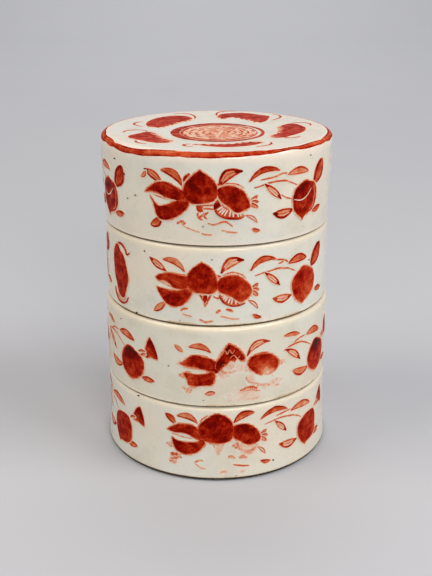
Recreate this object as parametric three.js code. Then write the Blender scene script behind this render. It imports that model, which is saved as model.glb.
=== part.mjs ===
// A round porcelain box in four pieces: three stacking trays under a deep, flat-topped lid.
// Each tray carries an upstanding flange that enters the recess of the piece above it,
// so every piece lifts straight off and can be set down again in any turn.
// Millimetres, +Z up, origin at the middle of the foot.
import * as THREE from "three";

// Wall heights, from a piece's lower rim to its shoulder or flat top
const LOWER_HEIGHT = 35.4;
const MIDDLE_HEIGHT = 36.6;
const UPPER_HEIGHT = 34.4;
const LID_HEIGHT = 38.2;

// Outside radii
const FOOT_RADIUS = 52.2;
const LOWER_RADIUS = 50.7;
const MIDDLE_RADIUS = 50.7;
const UPPER_RADIUS = 49.6;
const LID_RIM_RADIUS = 49.5;
const LID_TOP_RADIUS = 50.5;

// Thicknesses of the fired body
const RIM_THICKNESS = 2.8;
const FLANGE_THICKNESS = 2.2;
const FLOOR_THICKNESS = 3.6;
const BASE_THICKNESS = 4.4;
const LID_TOP_THICKNESS = 4.4;
const FOOT_RING_WIDTH = 6;

// Flange, foot and flare
const FLANGE_HEIGHT = 5;
const FOOT_RECESS = 2.6;
const FLARE_HEIGHT = 20;

// Clearances between a flange and the piece that sits over it
const FIT_CLEARANCE = 0.5;
const HEAD_CLEARANCE = 0.6;
const SEAT_GAP = 0.3;

// Rounding of the edges and of the inside corners
const LID_EDGE_ROUND = 2;
const SHOULDER_ROUND = 1.8;
const RIM_ROUND = 0.6;
const FLANGE_ROUND = 0.7;
const FOOT_ROUND = 1.2;
const INSIDE_ROUND = 3;

// Fineness of the turned surfaces, and the most of a wall that one rounded end may take
const TURN_STEPS = 64;
const ROUND_STEPS = 2;
const FLARE_STEPS = 4;
const LONGEST_ROUND_SHARE = 0.48;

// Pale grey-white glaze over the porcelain body
const GLAZE_COLOUR = 0xd9d5c8;
const GLAZE_ROUGHNESS = 0.22;

// The mouth is common to all pieces, so it is taken from the slimmest wall.
const recessRadius = Math.min(LOWER_RADIUS, MIDDLE_RADIUS, UPPER_RADIUS, LID_RIM_RADIUS) - RIM_THICKNESS;
const flangeRadius = recessRadius - FIT_CLEARANCE;
const insideRadius = flangeRadius - FLANGE_THICKNESS;
const recessHeight = FLANGE_HEIGHT + HEAD_CLEARANCE;

// Each seat lies just above the shoulder of the piece below it.
const middleSeat = LOWER_HEIGHT + SEAT_GAP;
const upperSeat = middleSeat + MIDDLE_HEIGHT + SEAT_GAP;
const lidSeat = upperSeat + UPPER_HEIGHT + SEAT_GAP;

// Turns a list of [radius, height, rounding] corners about the Z axis.
function turned(corners) {
  const points = corners.map(([radius, height]) => new THREE.Vector2(radius, height));
  const path = new THREE.Path();
  path.moveTo(points[0].x, points[0].y);
  for (let i = 1; i < corners.length; i += 1) {
    const round = corners[i][2] ?? 0;
    if (round > 0) {
      addRound(path, points[i - 1], points[i], points[i + 1], round);
    } else {
      path.lineTo(points[i].x, points[i].y);
    }
  }
  return new THREE.LatheGeometry(path.getPoints(ROUND_STEPS), TURN_STEPS).rotateX(Math.PI / 2);
}

// Rounds one corner of a profile, no further than its two walls allow.
function addRound(path, before, corner, after, round) {
  const room = LONGEST_ROUND_SHARE * Math.min(corner.distanceTo(before), corner.distanceTo(after));
  const reach = Math.min(round, room);
  const start = before.clone().sub(corner).setLength(reach).add(corner);
  const end = after.clone().sub(corner).setLength(reach).add(corner);
  path.lineTo(start.x, start.y);
  path.quadraticCurveTo(corner.x, corner.y, end.x, end.y);
}

// Shoulder, flange and inside of a tray, from the outer wall's top to the middle of its floor.
function mouthCorners(radius, height, floorTop) {
  const flangeTop = height + FLANGE_HEIGHT;
  return [
    [radius, height, SHOULDER_ROUND],
    [flangeRadius, height],
    [flangeRadius, flangeTop, FLANGE_ROUND],
    [insideRadius, flangeTop, FLANGE_ROUND],
    [insideRadius, floorTop, INSIDE_ROUND],
    [0, floorTop],
  ];
}

// Underside of a piece that sits over a flange, from the middle of its ceiling to its outer rim.
function recessCorners(ceiling, rimRadius) {
  return [
    [0, ceiling],
    [recessRadius, ceiling, RIM_ROUND],
    [recessRadius, 0, RIM_ROUND],
    [rimRadius, 0, RIM_ROUND],
  ];
}

// A tray that stands on the flange of the tray below it.
function stackingTray(radius, height) {
  const floorTop = recessHeight + FLOOR_THICKNESS;
  return turned([...recessCorners(recessHeight, radius), ...mouthCorners(radius, height, floorTop)]);
}

// The lowest tray, which flares out to a foot ring round a shallow recess.
function footedTray() {
  const footInside = FOOT_RADIUS - FOOT_RING_WIDTH;
  const flare = new THREE.QuadraticBezierCurve(
    new THREE.Vector2(FOOT_RADIUS, 0),
    new THREE.Vector2(LOWER_RADIUS, FLARE_HEIGHT / 2),
    new THREE.Vector2(LOWER_RADIUS, FLARE_HEIGHT),
  );
  const [, ...aboveFoot] = flare.getPoints(FLARE_STEPS).map(({ x, y }) => [x, y]);
  return turned([
    [0, FOOT_RECESS],
    [footInside, FOOT_RECESS, RIM_ROUND],
    [footInside, 0, RIM_ROUND],
    [FOOT_RADIUS, 0, FOOT_ROUND],
    ...aboveFoot,
    ...mouthCorners(LOWER_RADIUS, LOWER_HEIGHT, FOOT_RECESS + BASE_THICKNESS),
  ]);
}

// The deep lid with its flat top.
function deepLid() {
  const ceiling = LID_HEIGHT - LID_TOP_THICKNESS;
  return turned([
    [0, ceiling],
    [recessRadius, ceiling, INSIDE_ROUND],
    [recessRadius, 0, RIM_ROUND],
    [LID_RIM_RADIUS, 0, RIM_ROUND],
    [LID_TOP_RADIUS, LID_HEIGHT, LID_EDGE_ROUND],
    [0, LID_HEIGHT],
  ]);
}

// One named piece, with its lower rim at the height of its seat.
function piece(name, geometry, seat) {
  const glaze = new THREE.MeshStandardMaterial({
    color: GLAZE_COLOUR,
    roughness: GLAZE_ROUGHNESS,
    metalness: 0,
  });
  const mesh = new THREE.Mesh(geometry, glaze);
  mesh.name = name;
  mesh.position.z = seat;
  return mesh;
}

const box = new THREE.Group();
box.name = "tiered_box";
box.add(
  piece("lower_tray", footedTray(), 0),
  piece("middle_tray", stackingTray(MIDDLE_RADIUS, MIDDLE_HEIGHT), middleSeat),
  piece("upper_tray", stackingTray(UPPER_RADIUS, UPPER_HEIGHT), upperSeat),
  piece("lid", deepLid(), lidSeat),
);

export default box;
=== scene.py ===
"""A round porcelain box of three stacking trays under a deep lid, painted in iron red.

Smooth glazed bodies stand for the four CAD pieces. The painting lies on them as thin films of
enamel, drawn on the unrolled wall or on the flat lid and then wrapped onto the glaze.
Drawings are in millimetres, and every finished mesh is in metres.
"""
import logging
import math
import random
from dataclasses import dataclass, field, replace
from enum import Enum
from typing import NamedTuple, Sequence

import bmesh
import bpy
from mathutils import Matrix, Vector, noise
from mathutils.geometry import interpolate_bezier


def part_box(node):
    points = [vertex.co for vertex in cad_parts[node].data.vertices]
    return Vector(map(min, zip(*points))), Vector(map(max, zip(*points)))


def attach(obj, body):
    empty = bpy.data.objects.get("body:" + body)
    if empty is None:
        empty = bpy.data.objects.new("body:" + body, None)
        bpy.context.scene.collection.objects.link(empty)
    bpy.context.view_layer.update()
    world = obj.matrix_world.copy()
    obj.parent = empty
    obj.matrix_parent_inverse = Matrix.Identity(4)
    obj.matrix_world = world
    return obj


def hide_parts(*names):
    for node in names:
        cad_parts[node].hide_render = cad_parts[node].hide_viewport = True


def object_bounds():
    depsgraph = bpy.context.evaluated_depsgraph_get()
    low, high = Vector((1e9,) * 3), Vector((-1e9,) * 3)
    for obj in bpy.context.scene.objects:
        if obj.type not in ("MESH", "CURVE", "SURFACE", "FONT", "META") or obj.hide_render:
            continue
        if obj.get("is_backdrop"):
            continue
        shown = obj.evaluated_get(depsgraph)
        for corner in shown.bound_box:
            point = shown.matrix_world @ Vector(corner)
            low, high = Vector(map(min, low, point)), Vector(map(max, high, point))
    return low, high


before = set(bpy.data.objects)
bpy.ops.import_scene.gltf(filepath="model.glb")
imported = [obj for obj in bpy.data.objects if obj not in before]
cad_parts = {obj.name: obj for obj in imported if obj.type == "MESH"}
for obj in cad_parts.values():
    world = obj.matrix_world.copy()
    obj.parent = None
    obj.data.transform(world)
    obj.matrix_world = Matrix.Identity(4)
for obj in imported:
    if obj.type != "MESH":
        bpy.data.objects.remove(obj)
CAD_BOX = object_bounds()

MM = 0.001
log = logging.getLogger("tiered_box")

Point = tuple[float, float]
Point3 = tuple[float, float, float]
Outline = tuple[Point, ...]
Colour = tuple[float, float, float, float]
Socket = bpy.types.NodeSocket
Mesh = bmesh.types.BMesh

# Millimetres within which two heights count as one, and two drawn points as one
HAIR = 0.01
SAME_PLACE = 1e-6

# What a bare point's value is where the body is darkened as well, by soiling and by painted shade
STAINED_AND_SHADED = 2.0

# Sockets of a Mix node that mixes colours
MIX_SHARE, MIX_FIRST, MIX_SECOND, MIX_RESULT = 0, 6, 7, 2


def screen_colour(red: int, green: int, blue: int) -> Colour:
    """Gives the linear colour of 8-bit screen values.

    Args:
        red: Red from 0 to 255.
        green: Green from 0 to 255.
        blue: Blue from 0 to 255.

    Returns:
        The linear colour with full alpha.
    """
    def linear(value: int) -> float:
        """Undoes the screen's transfer curve."""
        share = value / 255
        return share / 12.92 if share <= 0.04045 else ((share + 0.055) / 1.055) ** 2.4

    return (linear(red), linear(green), linear(blue), 1.0)


def blend_in(value: float, start: float, end: float) -> float:
    """Rises smoothly from 0 at start to 1 at end.

    Args:
        value: Where to read the curve.
        start: Where it leaves 0.
        end: Where it reaches 1; may be below start.

    Returns:
        The share from 0 to 1.
    """
    share = min(1.0, max(0.0, (value - start) / (end - start)))
    return share * share * (3.0 - 2.0 * share)


class NodeBench:
    """A new material's nodes, with short ways to add what the finishes need."""

    def __init__(self, name: str) -> None:
        """Starts a material around one Principled shader.

        Args:
            name: The material's name.
        """
        self.material = bpy.data.materials.new(name)
        self.material.use_nodes = True
        self.nodes = self.material.node_tree.nodes
        self.links = self.material.node_tree.links
        self.shader = self.nodes["Principled BSDF"]
        self.place = self.nodes.new("ShaderNodeTexCoord").outputs["Object"]

    def feed(self, socket: Socket, value: object) -> None:
        """Links an output to a socket, or sets a plain value on it.

        Args:
            socket: The input to feed.
            value: An output socket, a number or a colour.
        """
        if isinstance(value, Socket):
            self.links.new(value, socket)
        else:
            socket.default_value = value

    def noise(self, scale: float, detail: float = 2.0, vector: object = None) -> Socket:
        """Adds a noise pattern.

        Args:
            scale: Features per metre, or per unit of the vector.
            detail: Octaves of finer noise.
            vector: Coordinates to read instead of the object's own.

        Returns:
            The pattern's value output.
        """
        node = self.nodes.new("ShaderNodeTexNoise")
        self.feed(node.inputs["Vector"], vector or self.place)
        node.inputs["Scale"].default_value = scale
        node.inputs["Detail"].default_value = detail
        return node.outputs[0]

    def painted(self, name: str, output: str = "Fac") -> Socket:
        """Reads a value that the mesh carries on its points.

        Args:
            name: The attribute's name.
            output: The socket to read it from.

        Returns:
            That output socket.
        """
        node = self.nodes.new("ShaderNodeAttribute")
        node.attribute_name = name
        return node.outputs[output]

    def combine(self, operation: str, first: object, second: object) -> Socket:
        """Adds a math node.

        Args:
            operation: The node's operation.
            first: Its first value or socket.
            second: Its second value or socket.

        Returns:
            The result's socket.
        """
        node = self.nodes.new("ShaderNodeMath")
        node.operation = operation
        self.feed(node.inputs[0], first)
        self.feed(node.inputs[1], second)
        return node.outputs[0]

    def span(
        self, value: object, low: float, high: float, to_low: float = 0.0, to_high: float = 1.0,
    ) -> Socket:
        """Maps a stretch of values smoothly onto another one.

        Args:
            value: The socket to map.
            low: Value that becomes to_low.
            high: Value that becomes to_high.
            to_low: Start of the new stretch.
            to_high: End of the new stretch.

        Returns:
            The mapped socket.
        """
        node = self.nodes.new("ShaderNodeMapRange")
        node.interpolation_type = "SMOOTHSTEP"
        self.feed(node.inputs["Value"], value)
        for name, number in (("From Min", low), ("From Max", high), ("To Min", to_low), ("To Max", to_high)):
            node.inputs[name].default_value = number
        return node.outputs["Result"]

    def mix(self, share: object, first: object, second: object) -> Socket:
        """Mixes two colours.

        Args:
            share: How much of the second shows.
            first: The first colour or socket.
            second: The second colour or socket.

        Returns:
            The mixed colour's socket.
        """
        node = self.nodes.new("ShaderNodeMix")
        node.data_type = "RGBA"
        self.feed(node.inputs[MIX_SHARE], share)
        self.feed(node.inputs[MIX_FIRST], first)
        self.feed(node.inputs[MIX_SECOND], second)
        return node.outputs[MIX_RESULT]

    def ramp(self, value: object, stops: Sequence[tuple[float, Colour]]) -> Socket:
        """Turns a value into a colour by a row of stops.

        Args:
            value: The socket to read.
            stops: Positions from 0 to 1 with their colours.

        Returns:
            The colour's socket.
        """
        node = self.nodes.new("ShaderNodeValToRGB")
        steps = node.color_ramp.elements
        ready = len(steps)
        for index, (position, colour) in enumerate(stops):
            step = steps[index] if index < ready else steps.new(position)
            step.position = position
            step.color = colour
        self.feed(node.inputs["Fac"], value)
        return node.outputs["Color"]

    def relief(self, height: object, depth: float) -> None:
        """Raises the surface by a pattern.

        Args:
            height: The pattern's socket.
            depth: Metres from its lowest to its highest value.
        """
        node = self.nodes.new("ShaderNodeBump")
        node.inputs["Distance"].default_value = depth
        self.feed(node.inputs["Height"], height)
        self.links.new(node.outputs["Normal"], self.shader.inputs["Normal"])


@dataclass(frozen=True)
class PorcelainGlaze:
    """Grey-white glaze: cloudy, creamy where it thins at an edge, and absent from the rims.

    The creamy tint on the shoulders is also a painted highlight; the dark on the bare rims and foot is
    soiling together with painted shade. Each scale counts a pattern's features per metre.
    """

    name: str
    cool: Colour = screen_colour(225, 223, 210)
    warm: Colour = screen_colour(231, 220, 200)
    dull: Colour = screen_colour(213, 208, 191)
    # Creamy tint of thin glaze; on the shoulders and under the lid's band it is also a painted highlight
    cream_and_highlight: Colour = screen_colour(246, 230, 203)
    biscuit: Colour = screen_colour(203, 176, 138)
    # Darkens the bare rims and foot: soiling together with painted shade in the seams and painted shadow
    # under the foot
    soot_and_shade: Colour = screen_colour(48, 40, 29)
    speck: Colour = screen_colour(84, 74, 62)
    tint_scale: float = 19.0
    cloud_scale: float = 70.0
    fleck_scale: float = 150.0
    peel_scale: float = 260.0
    fine_scale: float = 420.0
    pore_scale: float = 800.0
    stain_scale: float = 900.0
    fleck_reach: float = 0.05
    fleck_strength: float = 0.75
    peel_depth: float = 0.05

    def material(self) -> bpy.types.Material:
        """Makes the glaze's material, which reads the points' "thin" and "bare" values.

        Returns:
            The material.
        """
        bench = NodeBench(self.name)
        cloud = bench.noise(self.cloud_scale, 4.0)
        fine = bench.noise(self.fine_scale, 3.0)
        tone = bench.mix(bench.span(bench.noise(self.tint_scale), 0.38, 0.62), self.cool, self.warm)
        tone = bench.mix(bench.span(cloud, 0.46, 0.74, 0.0, 0.75), tone, self.dull)
        pores = bench.span(bench.noise(self.pore_scale, 3.0), 0.56, 0.78, 0.0, 0.3)
        tone = bench.mix(pores, tone, self.biscuit)
        # Creamy where the glaze thins; on the shoulders this is also a painted highlight
        thin = bench.combine("MULTIPLY", bench.painted("thin"), bench.span(fine, 0.2, 0.6, 0.55, 1.0))
        tone = bench.mix(thin, tone, self.cream_and_highlight)
        tone = bench.mix(self.flecks(bench), tone, self.speck)
        ragged = bench.combine("ADD", bench.painted("bare"), bench.span(cloud, 0.3, 0.7, -0.25, 0.25))
        bare = bench.span(ragged, 0.38, 0.62)
        spots = bench.span(bench.noise(self.stain_scale, 4.0), 0.5, 0.72, 0.0, 0.7)
        # Darkened rims and foot: soiling spots together with painted shade in the seams and painted shadow
        # under the foot
        stain_and_shade = bench.combine("MAXIMUM", spots, bench.span(bench.painted("bare"), 1.1, 1.7))
        body = bench.mix(stain_and_shade, self.biscuit, self.soot_and_shade)
        bench.feed(bench.shader.inputs["Base Color"], bench.mix(bare, tone, body))
        gloss = bench.span(fine, 0.3, 0.75, 0.12, 0.24)
        matt = bench.span(bare, 0.0, 1.0, 0.0, 0.8)
        bench.feed(bench.shader.inputs["Roughness"], bench.combine("MAXIMUM", gloss, matt))
        peel = bench.combine("ADD", bench.noise(self.peel_scale, 2.0), bench.combine("MULTIPLY", fine, 0.25))
        bench.relief(peel, self.peel_depth * MM)
        return bench.material

    def flecks(self, bench: NodeBench) -> Socket:
        """Adds scattered iron flecks.

        Args:
            bench: The material under way.

        Returns:
            How much a fleck covers the glaze, 0 outside it.
        """
        cells = bench.nodes.new("ShaderNodeTexVoronoi")
        cells.inputs["Scale"].default_value = self.fleck_scale
        bench.feed(cells.inputs["Vector"], bench.place)
        reach = bench.span(cells.outputs["Color"], 0.45, 0.85, 0.0, self.fleck_reach)
        inside = bench.combine("LESS_THAN", cells.outputs["Distance"], reach)
        return bench.combine("MULTIPLY", inside, self.fleck_strength)


@dataclass(frozen=True)
class IronRedEnamel:
    """Iron-red enamel whose colour follows how thickly each film was brushed."""

    name: str = "iron_red_enamel"
    thickest: float = 1.25
    stops: tuple[tuple[float, Colour], ...] = (
        (0.00, screen_colour(225, 219, 204)),
        (0.08, screen_colour(229, 199, 176)),
        (0.20, screen_colour(221, 146, 110)),
        (0.34, screen_colour(205, 92, 52)),
        (0.48, screen_colour(182, 50, 19)),
        (0.62, screen_colour(152, 22, 4)),
        (0.76, screen_colour(118, 7, 1)),
        (0.95, screen_colour(88, 6, 2)),
        (1.00, screen_colour(44, 34, 28)),
    )
    comb: Point3 = (0.22, 1.5, 1.0)
    blot_scale: float = 330.0
    grain_scale: float = 1500.0
    streak_depth: float = 0.16
    blot_depth: float = 0.48
    grain_depth: float = 0.2
    sheen: float = 0.02
    relief_depth: float = 0.02

    def material(self) -> bpy.types.Material:
        """Makes the enamel's material, which reads the points' "film_depth" and "brush" values.

        Returns:
            The material.
        """
        bench = NodeBench(self.name)
        combed = bench.nodes.new("ShaderNodeMapping")
        combed.inputs["Scale"].default_value = self.comb
        bench.feed(combed.inputs["Vector"], bench.painted("brush", "Vector"))
        streaks = bench.noise(1.0, 3.0, combed.outputs["Vector"])
        blots = bench.noise(self.blot_scale, 4.0)
        grain = bench.noise(self.grain_scale, 2.0)
        density = bench.combine("DIVIDE", bench.painted("film_depth"), self.thickest)
        patterns = ((streaks, self.streak_depth), (blots, self.blot_depth), (grain, self.grain_depth))
        for pattern, depth in patterns:
            uneven = bench.span(pattern, 0.25, 0.75, 1.0 - depth / 2, 1.0 + depth / 2)
            density = bench.combine("MULTIPLY", density, uneven)
        bench.feed(bench.shader.inputs["Base Color"], bench.ramp(density, self.stops))
        bench.feed(bench.shader.inputs["Roughness"], bench.span(blots, 0.3, 0.7, 0.3, 0.46))
        bench.feed(bench.shader.inputs["Specular IOR Level"], self.sheen)
        bench.relief(bench.combine("ADD", streaks, grain), self.relief_depth * MM)
        return bench.material


@dataclass(frozen=True)
class SweepPaper:
    """Pale grey studio paper with a faint tooth."""

    name: str = "sweep_paper"
    light: Colour = screen_colour(198, 198, 201)
    dark: Colour = screen_colour(194, 194, 198)
    tooth_scale: float = 6.0
    roughness: float = 0.9
    sheen: float = 0.2

    def material(self) -> bpy.types.Material:
        """Makes the paper's material.

        Returns:
            The material.
        """
        bench = NodeBench(self.name)
        tooth = bench.noise(self.tooth_scale, 3.0)
        bench.feed(bench.shader.inputs["Base Color"], bench.mix(tooth, self.light, self.dark))
        bench.feed(bench.shader.inputs["Roughness"], self.roughness)
        bench.feed(bench.shader.inputs["Specular IOR Level"], self.sheen)
        return bench.material


class Corner(NamedTuple):
    """One corner of a turned profile, in millimetres."""

    radius: float
    height: float
    rounding: float = 0.0


@dataclass(frozen=True)
class Turning:
    """Turns a profile of rounded corners about the vertical axis."""

    steps: int = 240
    round_steps: int = 6
    pitch: float = 1.6
    weld: float = 0.001

    def spin(self, corners: Sequence[Corner]) -> Mesh:
        """Rounds the profile's corners, divides its long runs and spins it.

        Args:
            corners: The closed profile, from the axis out and back to the axis.

        Returns:
            A closed mesh in millimetres with outward faces.
        """
        work = bmesh.new()
        points = [work.verts.new((corner.radius, 0.0, corner.height)) for corner in corners]
        work.faces.new(points)
        for rounding in sorted({corner.rounding for corner in corners} - {0.0}):
            group = [point for point, corner in zip(points, corners) if corner.rounding == rounding]
            bmesh.ops.bevel(
                work, geom=group, offset=rounding, offset_type="OFFSET", segments=self.round_steps,
                profile=0.5, affect="VERTICES", material=-1, clamp_overlap=True,
            )
        axis = [edge for edge in work.edges if all(point.co.x < self.weld for point in edge.verts)]
        for edge in [edge for edge in work.edges if edge.calc_length() > 2 * self.pitch and edge not in axis]:
            cuts = int(edge.calc_length() / self.pitch)
            bmesh.ops.subdivide_edges(work, edges=[edge], cuts=cuts)
        bmesh.ops.delete(work, geom=work.faces[:], context="FACES_ONLY")
        bmesh.ops.delete(work, geom=axis, context="EDGES")
        bmesh.ops.spin(
            work, geom=work.verts[:] + work.edges[:], cent=(0, 0, 0), axis=(0, 0, 1), dvec=(0, 0, 0),
            angle=math.tau, steps=self.steps, use_merge=True, use_duplicate=False,
        )
        bmesh.ops.remove_doubles(work, verts=work.verts[:], dist=self.weld)
        bmesh.ops.recalc_face_normals(work, faces=work.faces[:])
        return work


def finished_piece(name: str, work: Mesh, material: bpy.types.Material, sharp: float) -> bpy.types.Object:
    """Makes a shaded object of a finished mesh.

    Args:
        name: The piece's name.
        work: Its mesh, in metres; it is freed.
        material: Its finish.
        sharp: Angle in degrees past which an edge stays sharp.

    Returns:
        The linked object, at the origin.
    """
    mesh = bpy.data.meshes.new(name)
    work.to_mesh(mesh)
    work.free()
    mesh.shade_smooth()
    mesh.set_sharp_from_angle(angle=math.radians(sharp))
    mesh.materials.append(material)
    piece = bpy.data.objects.new(name, mesh)
    bpy.context.scene.collection.objects.link(piece)
    return piece


@dataclass(frozen=True)
class FitSizes:
    """Sizes of the joint that all four pieces share, in millimetres."""

    recess_radius: float = 46.7
    flange_radius: float = 46.2
    inside_radius: float = 44.0
    flange_height: float = 5.0
    recess_height: float = 5.6
    shoulder_round: float = 1.8
    rim_round: float = 0.6
    flange_round: float = 0.7
    inside_round: float = 3.0


@dataclass
class PorcelainPiece:
    """A thrown piece with an outer wall that is a little out of true, as hand work is.

    Sizes are in millimetres. A band says where a change starts and where it is complete.
    """

    node: str
    glaze: PorcelainGlaze
    rim_radius: float
    top_radius: float
    height: float
    hand: float
    fit: FitSizes = field(default_factory=FitSizes)
    turning: Turning = field(default_factory=Turning)
    out_of_round: float = 0.12
    lobe_share: float = 0.5
    lobe_phase: float = 2.3
    lobe_twist: float = 0.04
    ridge: float = 0.035
    ridges_per_mm: float = 0.35
    hand_step: float = 9.1
    wall_inset: float = 1.0
    rim_inset: float = 0.6
    outside_inset: float = 0.5
    # Creamy shoulder: glaze thinning there, and also a painted highlight
    shoulder_thin_and_highlight: float = 0.85
    shoulder_thin_and_highlight_band: Point = (2.8, 0.8)
    rim_thin: float = 0.8
    rim_band: Point = (1.8, 0.5)
    # Darkened lower rim: soiling of the bare body together with painted shade in the seam
    stain_and_shade: float = 0.6
    stain_and_shade_fade: float = 0.3
    sharp: float = 50.0

    def __post_init__(self) -> None:
        """Reads the height of the lower rim from the CAD node, in millimetres."""
        self.seat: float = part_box(self.node)[0][2] / MM

    @property
    def slot(self) -> str:
        """Name of the material slot, which is the glaze's own."""
        return self.glaze.name

    @property
    def outside(self) -> float:
        """Least radius of a point that belongs to the outer wall."""
        return self.fit.recess_radius + self.outside_inset

    def corners(self) -> list[Corner]:
        """Gives the profile to turn; each kind of piece has its own."""
        raise NotImplementedError

    def sway(self, angle: float, height: float) -> float:
        """Gives how far the outer wall stands off its plain form, as a slow oval and three lobes.

        Args:
            angle: Angle round the axis, 0 in front.
            height: Height above the lower rim.

        Returns:
            The offset outwards in millimetres.
        """
        oval = math.sin(2 * angle + self.hand)
        lobes = self.lobe_share * math.sin(3 * angle + self.lobe_phase * self.hand + self.lobe_twist * height)
        return self.out_of_round * (oval + lobes) / (1.0 + self.lobe_share)

    def wall_radius(self, angle: float, height: float) -> float:
        """Gives the outer wall's radius, without its fine throwing ridges.

        Args:
            angle: Angle round the axis, 0 in front.
            height: Height above the lower rim.

        Returns:
            The radius in millimetres.
        """
        plain = self.rim_radius + (self.top_radius - self.rim_radius) * height / self.height
        return plain + self.sway(angle, height)

    def settle(self, point: Vector) -> None:
        """Moves a point of the plain turned form to where the hand-made piece has it.

        Args:
            point: The point, in millimetres above the lower rim.
        """
        radius = math.hypot(point.x, point.y)
        start = self.fit.recess_radius + self.wall_inset
        if radius > start:
            angle = math.atan2(point.x, -point.y)
            share = blend_in(radius, start, self.rim_radius - self.rim_inset)
            winding = self.ridges_per_mm * point.z + angle / math.tau
            turns = noise.noise(Vector((winding, self.hand_step * self.hand, 0.0)))
            scale = 1.0 + share * (self.sway(angle, point.z) + self.ridge * turns) / radius
            point.x *= scale
            point.y *= scale

    def build(self) -> bpy.types.Object:
        """Turns the piece and notes on its points where the glaze is thin or bare, where a highlight is
        painted and where shade is painted.

        Returns:
            The piece, which stands for the CAD node and rides on its body.
        """
        work = self.turning.spin(self.corners())
        thin = work.verts.layers.float.new("thin")
        bare = work.verts.layers.float.new("bare")
        for vert in work.verts:
            radius, height = math.hypot(vert.co.x, vert.co.y), vert.co.z
            vert[thin] = self.thin(radius, height)
            vert[bare] = self.bare(radius, height)
            self.settle(vert.co)
        bmesh.ops.translate(work, verts=work.verts[:], vec=(0.0, 0.0, self.seat))
        bmesh.ops.scale(work, verts=work.verts[:], vec=(MM, MM, MM))
        piece = finished_piece(f"{self.node}_porcelain", work, self.glaze.material(), self.sharp)
        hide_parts(self.node)
        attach(piece, self.node)
        self.slot
        return piece

    def thin(self, radius: float, height: float) -> float:
        """Gives how thin the glaze runs at a point: over the wall's two edges, the upper one also a painted
        highlight.

        Args:
            radius: Distance from the axis.
            height: Height above the lower rim.

        Returns:
            0 for full glaze to 1 for the thinnest.
        """
        if radius < self.outside:
            return 0.0
        below, above = (self.height - drop for drop in self.shoulder_thin_and_highlight_band)
        shoulder = self.shoulder_thin_and_highlight * blend_in(height, below, above)
        return max(shoulder, self.rim_thin * blend_in(height, *self.rim_band))

    def bare(self, radius: float, height: float) -> float:
        """Gives how bare of glaze a point is: the lower rim carries none, and is darkened by soiling together
        with painted shade.

        Args:
            radius: Distance from the axis.
            height: Height above the lower rim.

        Returns:
            0 for glazed, 1 for bare and 2 for bare and darkened by soiling and painted shade.
        """
        recess = self.fit.recess_radius
        # The lower rim is darkened: soiling together with painted shade in the seam
        rim = blend_in(height, self.stain_and_shade, self.stain_and_shade - self.stain_and_shade_fade)
        return STAINED_AND_SHADED * rim * blend_in(radius, recess - self.wall_inset, recess)


@dataclass
class StackingTray(PorcelainPiece):
    """A tray that stands on the flange of the tray below it."""

    floor: float = 3.6
    # Height of the darkened lower rim: soiling and painted shade in the seam
    stain_and_shade: float = 0.7
    ledge_band: Point = (0.9, 2.0)
    ledge_drop: Point = (0.4, 0.1)
    flange_band: Point = (0.1, 0.5)

    def underside(self) -> list[Corner]:
        """Gives the recess that takes the flange below, from its middle out to the lower rim.

        Returns:
            The profile's corners.
        """
        fit = self.fit
        return [
            Corner(0.0, fit.recess_height),
            Corner(fit.recess_radius, fit.recess_height, fit.rim_round),
            Corner(fit.recess_radius, 0.0, fit.rim_round),
            Corner(self.rim_radius, 0.0, fit.rim_round),
        ]

    @property
    def floor_top(self) -> float:
        """Height of the compartment's floor above the lower rim."""
        return self.fit.recess_height + self.floor

    def corners(self) -> list[Corner]:
        """Gives the tray's profile: underside, outer wall, shoulder, flange and inside.

        Returns:
            The profile's corners.
        """
        fit = self.fit
        flange_top = self.height + fit.flange_height
        return [
            *self.underside(),
            Corner(self.top_radius, self.height, fit.shoulder_round),
            Corner(fit.flange_radius, self.height),
            Corner(fit.flange_radius, flange_top, fit.flange_round),
            Corner(fit.inside_radius, flange_top, fit.flange_round),
            Corner(fit.inside_radius, self.floor_top, fit.inside_round),
            Corner(0.0, self.floor_top),
        ]

    def bare(self, radius: float, height: float) -> float:
        """Gives how bare a point is: the flange, its ledge and the lower rim carry no glaze.

        Args:
            radius: Distance from the axis.
            height: Height above the lower rim.

        Returns:
            0 for glazed, 1 for bare and 2 for bare and darkened by soiling and painted shade.
        """
        outer, inner = (self.top_radius - inset for inset in self.ledge_band)
        below, above = (self.height - drop for drop in self.ledge_drop)
        ledge = blend_in(radius, outer, inner) * blend_in(height, below, above)
        inside, flange = (self.fit.inside_radius + step for step in self.flange_band)
        return max(ledge * blend_in(radius, inside, flange), super().bare(radius, height))


@dataclass
class FootedTray(StackingTray):
    """The lowest tray, which flares out to a bare foot ring."""

    foot_radius: float = 52.2
    foot_ring: float = 6.0
    foot_recess: float = 2.6
    foot_round: float = 2.0
    foot_true: float = 4.0
    flare_height: float = 20.0
    floor: float = 4.4
    # Darkened foot: mostly painted shadow where it meets the floor, with some soiling
    stain_and_shade: float = 2.0

    def underside(self) -> list[Corner]:
        """Gives the shallow recess inside the foot ring, from its middle out to the foot's edge.

        Returns:
            The profile's corners.
        """
        inner = self.foot_radius - self.foot_ring
        return [
            Corner(0.0, self.foot_recess),
            Corner(inner, self.foot_recess, self.fit.rim_round),
            Corner(inner, 0.0, self.fit.rim_round),
            Corner(self.rim_radius, 0.0, self.foot_round),
        ]

    @property
    def floor_top(self) -> float:
        """Height of the compartment's floor above the foot."""
        return self.foot_recess + self.floor

    def sway(self, angle: float, height: float) -> float:
        """Adds the flare to the hand-made wall's offset, and keeps the foot itself true.

        Args:
            angle: Angle round the axis, 0 in front.
            height: Height above the foot.

        Returns:
            The offset outwards in millimetres.
        """
        below = max(0.0, 1.0 - height / self.flare_height)
        loose = blend_in(height, 0.0, self.foot_true)
        return (self.foot_radius - self.rim_radius) * below**2 + loose * super().sway(angle, height)


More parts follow.
